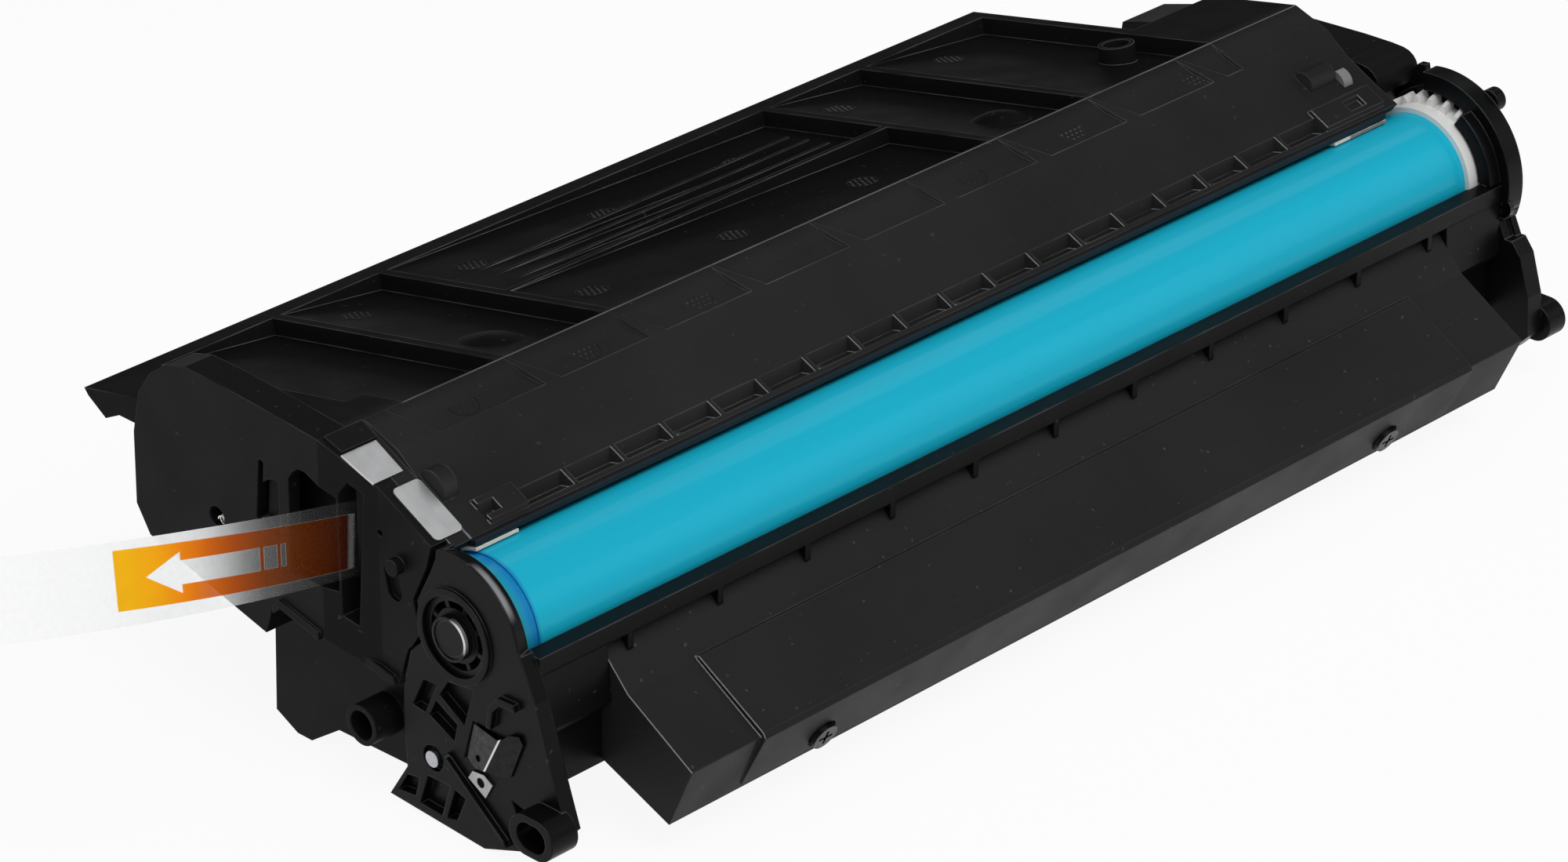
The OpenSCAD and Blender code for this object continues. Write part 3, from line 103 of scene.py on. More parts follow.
class Shade:
    """Small helper that builds one node material."""

    def __init__(self, name):
        self.mat = bpy.data.materials.new(name)
        self.mat.use_nodes = True
        self.tree = self.mat.node_tree
        self.tree.nodes.clear()
        self.out = self.add("ShaderNodeOutputMaterial")
        self.bsdf = self.add("ShaderNodeBsdfPrincipled")
        self.join(self.bsdf.outputs[0], self.out.inputs[0])
        self.place = self.add("ShaderNodeTexCoord").outputs["Object"]

    def add(self, kind, **settings):
        node = self.tree.nodes.new(kind)
        for key, value in settings.items():
            setattr(node, key, value)
        return node

    def join(self, a, b):
        self.tree.links.new(a, b)

    def put(self, value, socket):
        if isinstance(value, bpy.types.NodeSocket):
            self.join(value, socket)
        else:
            socket.default_value = value

    def noise(self, scale, detail=2.0, rough=0.5, coords=None):
        node = self.add("ShaderNodeTexNoise")
        node.inputs["Scale"].default_value = scale
        node.inputs["Detail"].default_value = detail
        node.inputs["Roughness"].default_value = rough
        self.join(coords or self.place, node.inputs["Vector"])
        return node.outputs["Fac"]

    def stretched(self, sx, sy, sz):
        node = self.add("ShaderNodeMapping")
        node.inputs["Scale"].default_value = (sx, sy, sz)
        self.join(self.place, node.inputs["Vector"])
        return node.outputs[0]

    def axis(self, which, coords=None):
        node = self.add("ShaderNodeSeparateXYZ")
        self.join(coords or self.place, node.inputs[0])
        return node.outputs[which]

    def math(self, op, a, b=0.0, clamp=False):
        node = self.add("ShaderNodeMath", operation=op, use_clamp=clamp)
        self.put(a, node.inputs[0])
        self.put(b, node.inputs[1])
        return node.outputs[0]

    def times(self, *values):
        """Product of two or more values."""
        result = values[0]
        for value in values[1:]:
            result = self.math("MULTIPLY", result, value)
        return result

    def from_axis(self):
        """Distance from the drum axis."""
        y, z = self.axis(1), self.axis(2)
        return self.math("SQRT", self.math("ADD", self.times(y, y), self.times(z, z)))

    def span(self, value, a, b, lo=0.0, hi=1.0, smooth=False):
        """value from a..b mapped to lo..hi, held at the ends."""
        node = self.add("ShaderNodeMapRange")
        node.interpolation_type = "SMOOTHSTEP" if smooth else "LINEAR"
        self.put(value, node.inputs[0])
        for k, v in zip((1, 2, 3, 4), (a, b, lo, hi)):
            node.inputs[k].default_value = v
        return node.outputs[0]

    def mix(self, fac, a, b):
        node = self.add("ShaderNodeMix", data_type="RGBA")
        self.put(fac, node.inputs[0])
        for value, socket in ((a, node.inputs[6]), (b, node.inputs[7])):
            self.put(value if isinstance(value, bpy.types.NodeSocket) else (*value, 1.0), socket)
        return node.outputs[2]

    def scaled(self, colour, factor):
        node = self.add("ShaderNodeVectorMath", operation="SCALE")
        self.join(colour, node.inputs[0])
        self.put(factor, node.inputs["Scale"])
        return node.outputs[0]

    def ramp(self, value, stops):
        node = self.add("ShaderNodeValToRGB")
        self.join(value, node.inputs[0])
        band = node.color_ramp
        while len(band.elements) < len(stops):
            band.elements.new(0.5)
        for element, (at, colour) in zip(band.elements, stops):
            element.position = at
            element.color = (*colour, 1.0)
        return node.outputs[0]

    def soft_edges(self, radius):
        """Normal rounded over the edges, a mask of where it bends, and one of its very edge."""
        bevel = self.add("ShaderNodeBevel", samples=6)
        bevel.inputs["Radius"].default_value = radius
        plain = self.add("ShaderNodeNewGeometry").outputs["Normal"]
        dot = self.add("ShaderNodeVectorMath", operation="DOT_PRODUCT")
        self.join(bevel.outputs[0], dot.inputs[0])
        self.join(plain, dot.inputs[1])
        bend = dot.outputs["Value"]
        return bevel.outputs[0], self.span(bend, *EDGE_MASK), self.span(bend, *EDGE_LINE)

    def bump(self, height, distance, strength=1.0, normal=None):
        node = self.add("ShaderNodeBump")
        node.inputs["Strength"].default_value = strength
        node.inputs["Distance"].default_value = distance
        self.join(height, node.inputs["Height"])
        if normal is not None:
            self.join(normal, node.inputs["Normal"])
        self.join(node.outputs[0], self.bsdf.inputs["Normal"])
        return node.outputs[0]

    def base(self, value):
        self.put(value, self.bsdf.inputs["Base Color"])

    def rough(self, value):
        self.put(value, self.bsdf.inputs["Roughness"])

    def set(self, **values):
        for key, value in values.items():
            self.bsdf.inputs[key.replace("_", " ")].default_value = value


DUST_TONE = 0.16
# Tone of the painted highlight along the crease
CREASE_TONE = 0.14
# Tone of the painted highlight on the rim
RIM_TONE = (0.26, 0.26, 0.27)
# How much the part of the rim with the painted highlight looks up and forward
RIM_UP, RIM_FORWARD = 0.80, 0.60


def grey(tone):
    return (tone, tone, tone)


def with_glint(s, tone, normal, line, glint):
    """Painted highlight: a broken light line along edges that look up."""
    upward = s.span(s.axis(2, normal), 0.25, 0.75)
    broken = s.span(s.noise(70.0, 3.0), 0.35, 0.6, 0.15, 1.0)
    return s.mix(s.times(line, upward, broken), tone, grey(glint))


def with_side_glint(s, tone, normal, line, glint, back_to):
    """Painted highlight: a light line along edges that look left and up, no farther back than
    back_to.
    """
    left = s.span(s.axis(0, normal), -0.5, -0.2, 1.0, 0.0)
    side_highlight = s.times(line, s.times(left, s.span(s.axis(2, normal), 0.15, 0.4)))
    if back_to:
        side_highlight = s.times(side_highlight, s.span(s.axis(1), back_to, back_to + 0.0008, 1.0, 0.0))
    return s.mix(side_highlight, tone, grey(glint))


def with_crease(s, tone, y, z, start):
    """Painted highlight along a crease along X, at one place in Y and Z and from X start on."""
    off = s.math("ABSOLUTE", s.math("SUBTRACT", s.axis(1), y))
    crease_highlight = s.times(s.span(off, 0.00010, 0.00020, 1.0, 0.0),
                     s.span(s.axis(2), z - 0.0003, z - 0.0002),
                     s.span(s.axis(0), start, start + 0.001),
                     s.span(s.noise(55.0, 3.0), 0.3, 0.6, 0.45, 1.0))
    return s.mix(crease_highlight, tone, grey(CREASE_TONE))


def with_lit_rim(s, tone, least):
    """Painted highlight on the left plate's rim, from radius least outwards, where it looks up and
    forward.
    """
    radius = s.from_axis()
    facing = s.math("SUBTRACT", s.times(s.axis(2), RIM_UP), s.times(s.axis(1), RIM_FORWARD))
    facing = s.math("DIVIDE", facing, s.math("MAXIMUM", radius, 0.001))
    facing = s.span(facing, 0.90, 0.99, smooth=True)
    x = s.axis(0)
    belt = s.times(s.span(x, 0.0016, 0.0021, smooth=True),
                   s.span(x, 0.0026, 0.0038, 1.0, 0.0, smooth=True))
    on_rim = s.span(radius, least, least + 0.0002)
    return s.mix(s.times(on_rim, s.times(facing, belt)), tone, RIM_TONE)


def moulded(name, dark, light, rough, grain, height, edge, specular=0.3, dust=0.0,
            edge_light=1.6, grain_detail=2.0, glint=0.0, side_glint=0.0, side_to=None,
            across=None, steep=1.0, crease=None, rim=None):
    """Moulded plastic: mottled tone, fine grain, dust specks, and lighter edges that are
    partly wear and partly a painted highlight.

    Its tone lies between dark and light and its roughness in the range rough. grain
    and height are the fineness and depth of its grain, edge is the radius its edges
    are rounded to, and dust is how thick the specks lie.
    glint is the tone of a painted highlight on edges that look up, side_glint of
    one on edges that look left and up, as far back as side_to. across holds an axis,
    two stations on it and the tone's factor at each; steep is the factor on side
    walls, a painted light that brightens walls lying in shade. crease holds the Y, Z
    and first X of a crease with a painted highlight along it. rim is the least radius
    of a rim round the drum axis with a painted highlight at its upper front.
    """
    s = Shade(name)
    tone = s.ramp(s.noise(26.0, 4.0, 0.55), [(0.3, dark), (0.7, light)])
    normal, mask, line = s.soft_edges(edge)
    # Tone scaled along an axis: on the roof a painted light, lighter at the front and darker at
    # the rear; on the felt darker at its right part
    if across:
        tone = s.scaled(tone, s.span(s.axis(across[0]), *across[1:]))
    # Painted light: side walls made lighter where they lie in shade
    if steep != 1.0:
        tone = s.scaled(tone, s.span(s.axis(2, normal), 0.3, 0.8, steep, 1.0))
    bright = tuple(min(1.0, c * edge_light + 0.002) for c in light)
    # Edges mixed lighter: partly wear, partly a painted highlight
    wear_and_sheen = s.times(mask, s.span(s.noise(420.0, 3.0), 0.35, 0.65, 0.25, 0.9))
    tone = s.mix(wear_and_sheen, tone, bright)
    # Painted highlight on edges that look up
    if glint:
        tone = with_glint(s, tone, normal, line, glint)
    # Painted highlight on edges that look left and up
    if side_glint:
        tone = with_side_glint(s, tone, normal, line, side_glint, side_to)
    # Painted highlight along the crease
    if crease:
        tone = with_crease(s, tone, *crease)
    # Painted highlight on the rim
    if rim:
        tone = with_lit_rim(s, tone, rim)
    if dust:
        specks = s.span(s.noise(780.0, 1.0, 0.4), 0.745, 0.775, 0.0, dust)
        tone = s.mix(specks, tone, grey(DUST_TONE))
    s.base(tone)
    s.rough(s.span(s.noise(95.0, 3.0), 0.25, 0.75, rough[0], rough[1]))
    s.set(Specular_IOR_Level=specular)
    s.bump(s.noise(grain, grain_detail, 0.6), height, 1.0, normal)
    return s.mat


def metal(name, dark, light, rough, brush, height, edge=0.0001):
    """Plate or turned metal with a fine brushed or rolled grain."""
    s = Shade(name)
    lines = s.noise(1.0, 3.0, 0.6, s.stretched(*brush))
    s.base(s.ramp(lines, [(0.25, dark), (0.75, light)]))
    s.rough(s.span(s.noise(240.0, 3.0), 0.3, 0.7, rough[0], rough[1]))
    s.set(Metallic=1.0)
    normal, _, _ = s.soft_edges(edge)
    s.bump(lines, height, 1.0, normal)
    return s.mat


# Radius the flange's coloured rim starts at
FLANGE_RIM = 0.01150
# Tones of the coating towards the left end, and the X they run from and to
END_FROM, END_TO = 0.005, 0.0105
END_TONES = (
    (0.0, (0.018, 0.30, 0.36)), (0.30, (0.016, 0.30, 0.40)), (0.47, (0.010, 0.27, 0.50)),
    (0.60, (0.008, 0.215, 0.50)), (0.72, (0.008, 0.22, 0.50)), (0.80, (0.010, 0.31, 0.55)),
    (0.88, (0.011, 0.45, 0.62)))


def drum_coating(name, on_flange):
    """Glossy cyan coating, deeper blue at its left end; a flange has it on the rim only."""
    s = Shade(name)
    x = s.axis(0)
    body = s.ramp(s.noise(1.0, 3.0, 0.5, s.stretched(6.0, 260.0, 260.0)),
                  [(0.3, (0.0095, 0.420, 0.590)), (0.7, (0.0115, 0.450, 0.625))])
    wobble = s.span(s.noise(110.0, 2.0), 0.3, 0.7, -0.00020, 0.00020)
    along = s.span(s.math("ADD", x, wobble), END_FROM, END_TO)
    coat = s.mix(s.span(along, 0.82, 0.90), s.ramp(along, END_TONES), body)
    if on_flange:
        plastic = s.ramp(s.noise(26.0, 4.0),
                         [(0.3, (0.012, 0.012, 0.013)), (0.7, (0.019, 0.0195, 0.021))])
        coat = s.mix(s.span(s.from_axis(), FLANGE_RIM, FLANGE_RIM + 0.0001), plastic, coat)
    s.base(coat)
    s.rough(s.span(s.noise(60.0, 3.0), 0.3, 0.7, 0.30, 0.38))
    s.set(Specular_IOR_Level=0.06, Coat_Weight=0.16, Coat_Roughness=0.10)
    s.bump(s.noise(1.0, 2.0, 0.5, s.stretched(25.0, 900.0, 900.0)), 0.000002)
    return s.mat


# Middle and turn of the folded contact's fold line, as in the CAD source
FOLD = (-10.8, -14.8)
FOLD_TURN = 27.2


def folded_foil():
    """Folded contact: tarnished, its rear leaf painted lighter than the near one as light falls on
    it, with a painted highlight along the fold.
    """
    s = Shade("dark_foil")
    cos, sin = math.cos(math.radians(FOLD_TURN)), math.sin(math.radians(FOLD_TURN))
    away = s.math("ADD", s.times(s.axis(1), cos), s.times(s.axis(2), sin))
    away = s.math("SUBTRACT", away, (FOLD[0] * cos + FOLD[1] * sin) * MM)
    crazed = s.noise(900.0, 5.0, 0.7)
    # Rear leaf lighter, near leaf darker: painted light and shade
    rear = s.ramp(crazed, [(0.35, (0.022, 0.022, 0.023)), (0.65, (0.055, 0.055, 0.056))])
    near = s.ramp(crazed, [(0.35, (0.010, 0.010, 0.0105)), (0.65, (0.019, 0.019, 0.020))])
    leaf = s.mix(s.span(away, -0.0001, 0.0001), near, rear)
    # Painted highlight along the fold
    fold = s.span(s.math("ABSOLUTE", away), 0.00010, 0.00024, 1.0, 0.0)
    s.base(s.mix(fold, leaf, (0.75, 0.75, 0.75)))
    s.rough(s.span(s.noise(240.0, 3.0), 0.3, 0.7, 0.26, 0.38))
    s.set(Metallic=1.0)
    normal, _, _ = s.soft_edges(0.00015)
    s.bump(crazed, 0.000006, 1.0, normal)
    return s.mat


def blasted_sleeve():
    """Developer sleeve: dark blasted aluminium."""
    s = Shade("sleeve_black")
    speck = s.noise(3400.0, 3.0, 0.6)
    s.base(s.ramp(speck, [(0.3, (0.035, 0.036, 0.040)), (0.7, (0.085, 0.087, 0.093))]))
    s.rough(s.span(s.noise(300.0, 2.0), 0.3, 0.7, 0.42, 0.56))
    s.set(Metallic=0.7)
    s.bump(speck, 0.00002)
    return s.mat


def stirring_film():
    """Clear film of the agitator."""
    s = Shade("clear_film")
    s.base(s.ramp(s.noise(60.0, 3.0), [(0.3, (0.55, 0.60, 0.62)), (0.7, (0.68, 0.72, 0.73))]))
    s.rough(s.span(s.noise(140.0, 2.0), 0.3, 0.7, 0.16, 0.3))
    s.put(s.span(s.noise(35.0, 3.0), 0.3, 0.7, 0.5, 0.62), s.bsdf.inputs["Alpha"])
    return s.mat


# Print on the pull tape, along it from 0 at the slot to 1 at the free end, and
# across it in millimetres: a block with a pointing arrow and two bars left bare.
BLOCK = (0.030, 0.685)
BLOCK_FADE = 0.012
ARROW_TIP = 0.605
ARROW_NECK = 0.512
SHAFT_END = 0.296
SHAFT_LAP = 0.002
BARS = ((0.247, 0.284), (0.222, 0.236))
BLOCK_HALF = 5.0
HEAD_HALF = 3.45
SHAFT_HALF = 2.0
BAR_HALF = 1.95
# Where the print's middle lies across the tape, at the slot and at the free end
PRINT_MIDDLE = (-0.4, 1.0)
# Softness of the print's edges, along and across
BLUR_ALONG = 0.0015
BLUR_ACROSS = 0.06
# Ink along the tape, its darkening towards the slot a painted shade, and how solid the
# bare film looks, clearer towards the slot as a painted shade
INK_TONES_AND_SHADE = (
    (0.03, (0.07, 0.007, 0.001)), (0.10, (0.16, 0.026, 0.001)), (0.218, (0.21, 0.040, 0.001)),
    (0.29, (0.274, 0.052, 0.001)), (0.363, (0.452, 0.078, 0.001)), (0.435, (0.706, 0.142, 0.001)),
    (0.508, (0.985, 0.267, 0.001)), (0.567, (1.0, 0.405, 0.002)), (0.65, (1.0, 0.50, 0.004)))
FILM_SOLID_AND_SHADE = (
    (0.0, 0.005), (0.15, 0.03), (0.22, 0.06), (0.29, 0.13), (0.34, 0.27), (0.40, 0.56),
    (0.46, 0.80), (0.52, 0.90), (0.60, 0.90), (0.75, 0.45), (1.0, 0.30))
# How solid the ink looks, clearer towards the slot as a painted shade: from, to, and its
# alpha at the first and at the last
INK_SOLID_AND_SHADE = (0.05, 0.5, 0.45, 1.0)


def tape_material():
    """Film with its print, made clearer towards the free end and towards the slot, where
    the clearer film and darker ink are a painted shade.
    """
    s = Shade("tape_film")
    uv = s.add("ShaderNodeUVMap", uv_map="along").outputs[0]
    along = s.axis(0, uv)
    across = s.math("SUBTRACT", s.axis(1, uv), s.span(along, 0.0, 1.0, *PRINT_MIDDLE))
    away = s.math("ABSOLUTE", across)

    def inside(value, a, b, blur):
        return s.times(s.span(value, a - blur, a + blur), under(value, b, blur))

    def under(value, limit, blur):
        return s.span(value, limit - blur, limit + blur, 1.0, 0.0)

    fade = s.span(along, BLOCK[0] - BLOCK_FADE, BLOCK[0] + BLOCK_FADE)
    block = s.times(fade, under(along, BLOCK[1], BLUR_ALONG), under(away, BLOCK_HALF, BLUR_ACROSS))
    slope = HEAD_HALF / (ARROW_TIP - ARROW_NECK)
    head_room = s.math("SUBTRACT", s.times(s.math("SUBTRACT", ARROW_TIP, along), slope), away)
    head = s.times(s.span(head_room, -BLUR_ACROSS, BLUR_ACROSS),
                   s.span(along, ARROW_NECK - BLUR_ALONG, ARROW_NECK + BLUR_ALONG))
    shaft = s.times(inside(along, SHAFT_END, ARROW_NECK + SHAFT_LAP, BLUR_ALONG),
                    under(away, SHAFT_HALF, BLUR_ACROSS))
    bare = s.math("MAXIMUM", head, shaft)
    for a, b in BARS:
        bar = s.times(inside(along, a, b, BLUR_ALONG), under(away, BAR_HALF, BLUR_ACROSS))
        bare = s.math("MAXIMUM", bare, bar)
    ink = s.math("MULTIPLY", block, s.math("SUBTRACT", 1.0, bare), clamp=True)

    grain = s.noise(900.0, 3.0, 0.6)
    film = s.mix(s.span(grain, 0.3, 0.7), (0.955, 0.96, 0.95), (0.985, 0.985, 0.975))
    smudge = s.span(s.noise(130.0, 4.0), 0.35, 0.75, 1.0, 0.90)
    colour = s.scaled(s.ramp(along, INK_TONES_AND_SHADE), smudge)
    s.base(s.mix(ink, film, colour))
    s.rough(s.span(s.noise(220.0, 3.0), 0.3, 0.7, 0.34, 0.46))
    # Film and ink alpha lowered towards the slot so the black behind shows: painted shade
    solid = s.ramp(along, [(at, grey(tone)) for at, tone in FILM_SOLID_AND_SHADE])
    mist = s.math("MULTIPLY", solid, s.span(grain, 0.25, 0.75, 0.96, 1.03), clamp=True)
    printed = s.span(along, *INK_SOLID_AND_SHADE, smooth=True)
    opaque = s.add("ShaderNodeMix", data_type="FLOAT")
    s.join(ink, opaque.inputs[0])
    s.join(mist, opaque.inputs[2])
    s.join(printed, opaque.inputs[3])
    s.join(opaque.outputs[0], s.bsdf.inputs["Alpha"])
    s.set(Specular_IOR_Level=0.15)
    s.bump(grain, 0.000004)
    return s.mat


# Radii of the pin, of the inside of its rim and of the ring turned in its face,
# the X its face ends at, and how much the part of its rim with a painted highlight
# looks up and forward
PIN_R = 0.00405
PIN_RIM_R = 0.00348
PIN_RING_R = 0.00318
PIN_FACE_X = 0.00060
PIN_UP, PIN_FORWARD = 0.50, 0.87


def bearing_material():
    """The bearing's moulding, with the metal face of the pin let in at its middle; the face
    is painted near black as a painted reflection of dark surroundings, and its rim has a
    painted highlight.
    """
    s = Shade("bearing_and_pin")
    radius = s.from_axis()
    inner = s.span(radius, PIN_R - 0.00003, PIN_R + 0.00003, 1.0, 0.0)
    front = s.times(inner, s.span(s.axis(0), PIN_FACE_X - 0.00005, PIN_FACE_X + 0.00005, 1.0, 0.0))
    rim = s.times(front, s.span(radius, PIN_RIM_R - 0.00004, PIN_RIM_R + 0.00004))
    disc = s.math("SUBTRACT", front, rim, clamp=True)
    off = s.math("ABSOLUTE", s.math("SUBTRACT", radius, PIN_RING_R))
    ring = s.span(off, 0.00004, 0.00014, 1.0, 0.0)
    turned = s.noise(1.0, 2.0, 0.5, s.stretched(400.0, 900.0, 900.0))
    # Painted highlight on the part of the pin's rim that looks up and forward
    side = s.math("SUBTRACT", s.times(s.axis(2), PIN_UP), s.times(s.axis(1), PIN_FORWARD))
    lit = s.span(s.math("DIVIDE", side, s.math("MAXIMUM", radius, 0.0001)), 0.55, 0.95)
    wear_and_sheen = s.ramp(turned, [(0.3, (0.012, 0.012, 0.0125)), (0.7, (0.022, 0.022, 0.023))])
    wear_and_sheen = s.mix(lit, wear_and_sheen, (0.75, 0.75, 0.76))
    # Pin face near black: a painted reflection of dark surroundings, with its turned ring lighter
    face_dark_reflection = s.ramp(s.noise(300.0, 3.0),
                    [(0.3, (0.004, 0.004, 0.0045)), (0.7, (0.007, 0.007, 0.0075))])
    face_dark_reflection = s.mix(s.times(ring, 0.8), face_dark_reflection, (0.055, 0.055, 0.058))
    dark = s.ramp(s.noise(26.0, 4.0),
                  [(0.3, (0.0045, 0.0045, 0.005)), (0.7, (0.0075, 0.0077, 0.0083))])
    normal, mask, _ = s.soft_edges(0.00018)
    dark = s.mix(s.times(mask, 0.6), dark, (0.030, 0.031, 0.033))
    dark = s.mix(disc, dark, face_dark_reflection)
    s.base(s.mix(rim, dark, wear_and_sheen))
    s.put(s.times(rim, 0.85), s.bsdf.inputs["Metallic"])
    s.set(Specular_IOR_Level=0.12)
    s.rough(s.span(s.noise(210.0, 3.0), 0.3, 0.7, 0.30, 0.42))
    s.bump(turned, 0.000006, 1.0, normal)
    return s.mat


# Moulded materials: moulded() says what each entry means
MOULDED = {
    "black_shell": dict(
        dark=(0.0052, 0.0052, 0.0053), light=(0.0080, 0.0080, 0.0082), rough=(0.42, 0.54),
        grain=2100.0, height=0.000014, edge=0.00040, specular=0.07, dust=0.15, glint=0.08),
    "bin_shell": dict(
        dark=(0.0150, 0.0150, 0.0152), light=(0.0200, 0.0200, 0.0204), rough=(0.42, 0.54),
        grain=2100.0, height=0.000012, edge=0.00040, specular=0.08, dust=0.2, glint=0.07,
        side_glint=0.42),
    # The roof: painted light makes its front lighter, its rear darker and its shaded walls
    # lighter; painted highlights on its edges and crease
    "roof_shell": dict(
        dark=(0.0072, 0.0072, 0.0073), light=(0.0106, 0.0106, 0.0108), rough=(0.52, 0.64),
        grain=2100.0, height=0.000014, edge=0.00035, specular=0.05, dust=0.12, glint=0.12,
        side_glint=0.42, side_to=0.0088, across=(1, 0.027, 0.032, 2.1, 0.50), steep=1.8,
        crease=(0.029, 0.0264, 0.017)),
    "black_frame": dict(
        dark=(0.0030, 0.0030, 0.0032), light=(0.0048, 0.0048, 0.0051), rough=(0.28, 0.38),
        grain=1500.0, height=0.000007, edge=0.00040, specular=0.09, dust=0.15, glint=0.10,
        rim=0.0139),
    "blue_black_bar": dict(
        dark=(0.0100, 0.0120, 0.0160), light=(0.0140, 0.0165, 0.0215), rough=(0.28, 0.38),
        grain=1500.0, height=0.000008, edge=0.00022, specular=0.2),
    "plug_plastic": dict(
        dark=(0.045, 0.047, 0.050), light=(0.070, 0.073, 0.078), rough=(0.45, 0.6),
        grain=1300.0, height=0.00003, edge=0.0003, specular=0.3),
    "cream_plastic": dict(
        dark=(0.76, 0.76, 0.73), light=(0.86, 0.86, 0.84), rough=(0.34, 0.46),
        grain=1200.0, height=0.000012, edge=0.00015, specular=0.4, edge_light=1.1),
    "pale_bush": dict(
        dark=(0.20, 0.20, 0.20), light=(0.27, 0.27, 0.27), rough=(0.34, 0.46),
        grain=1200.0, height=0.000012, edge=0.00015, specular=0.3, edge_light=1.2),
    "black_rubber": dict(
        dark=(0.010, 0.010, 0.010), light=(0.017, 0.017, 0.017), rough=(0.55, 0.7),
        grain=2600.0, height=0.00002, edge=0.0002, specular=0.25),
    "amber_rubber": dict(
        dark=(0.15, 0.07, 0.03), light=(0.24, 0.12, 0.055), rough=(0.4, 0.55),
        grain=1800.0, height=0.000015, edge=0.0001, specular=0.35),
    "magnet": dict(
        dark=(0.028, 0.027, 0.027), light=(0.044, 0.042, 0.041), rough=(0.5, 0.68),
        grain=2400.0, height=0.00003, edge=0.0002, specular=0.3),
    "white_felt": dict(
        dark=(0.62, 0.61, 0.56), light=(0.78, 0.77, 0.72), rough=(0.85, 0.95),
        grain=3200.0, height=0.00012, edge=0.0002, specular=0.1, edge_light=1.05,
        grain_detail=5.0, across=(0, 0.2312, 0.2318, 1.0, 0.30)),
}
# Metals: brush is how finely the grain repeats along X, Y and Z, height its depth
METALS = {
    "grey_steel": dict(
        dark=(0.36, 0.37, 0.39), light=(0.56, 0.57, 0.59), rough=(0.28, 0.42),
        brush=(60.0, 1900.0, 1900.0), height=0.000008),
    "bright_foil": dict(
        dark=(0.60, 0.60, 0.60), light=(0.67, 0.67, 0.67), rough=(0.36, 0.48),
        brush=(900.0, 120.0, 120.0), height=0.000003, edge=0.00012),
    "tab_foil": dict(
        dark=(0.34, 0.34, 0.34), light=(0.48, 0.48, 0.48), rough=(0.28, 0.40),
        brush=(300.0, 500.0, 160.0), height=0.000005, edge=0.00015),
    "wire": dict(
        dark=(0.70, 0.68, 0.62), light=(0.90, 0.88, 0.82), rough=(0.16, 0.28),
        brush=(900.0, 900.0, 900.0), height=0.000003),
    "dark_screw": dict(
        dark=(0.030, 0.030, 0.032), light=(0.060, 0.060, 0.063), rough=(0.30, 0.44),
        brush=(900.0, 900.0, 900.0), height=0.000008, edge=0.00015),
    "brass_contact": dict(
        dark=(0.42, 0.36, 0.22), light=(0.72, 0.64, 0.44), rough=(0.2, 0.4),
        brush=(700.0, 700.0, 700.0), height=0.00012),
}


def make_materials():
    """Every material by its slot's name, and the finer ones."""
    made = {name: moulded(name, **look) for name, look in MOULDED.items()}
    made.update({name: metal(name, **look) for name, look in METALS.items()})
    made["cyan_coating"] = drum_coating("cyan_coating", False)
    made["drum_end"] = drum_coating("drum_end", True)
    made["dark_foil"] = folded_foil()
    made["sleeve_black"] = blasted_sleeve()
    made["clear_film"] = stirring_film()
    made["tape_film"] = tape_material()
    made["bearing_and_pin"] = bearing_material()
    return made


# Pieces

def add_mesh(name, verts, faces, material, body, smooth=False):
    """New piece of the given form that rides on a body and takes its finish from a slot."""
    mesh = bpy.data.meshes.new(name)
    mesh.from_pydata([tuple(v) for v in verts], [], faces)
    mesh.validate()
    mesh.update()
    mesh.materials.append(material)
    if smooth:
        mesh.polygons.foreach_set("use_smooth", [True] * len(mesh.polygons))
    piece = bpy.data.objects.new(name, mesh)
    bpy.context.scene.collection.objects.link(piece)
    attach(piece, body)
    return piece


# The tape's route in millimetres and degrees, as in the CAD source
TAPE_EXIT = Vector((1.5, 22.3, 9.9))
TAPE_REACH = 60.0
TAPE_SWING = 21.5
TAPE_RISE = 3.4
TAPE_LEAN = 27.0
TAPE_WIDTH = 14.0
TAPE_BOW = 0.38
# Stations of its run inside the tank: X, Y and place along the print, at one height
INNER_RUN = ((220.5, 24.0, -3.0), (60.0, 24.0, -0.9), (9.0, 24.0, -0.14), (4.5, 23.7, -0.05))
INNER_Z = 9.5
# Steps of the strip along its free end and across, and its crown at the free end
TAPE_STEPS = 72
TAPE_ACROSS = 8
TAPE_CROWN = 0.05


def tape_middle(s):
    """Middle of the free end, from 0 at the slot to 1 at its tip."""
    bow = 1 - TAPE_BOW + TAPE_BOW * s
    return TAPE_EXIT + Vector((-TAPE_REACH * s, TAPE_SWING * s * bow, TAPE_RISE * s))


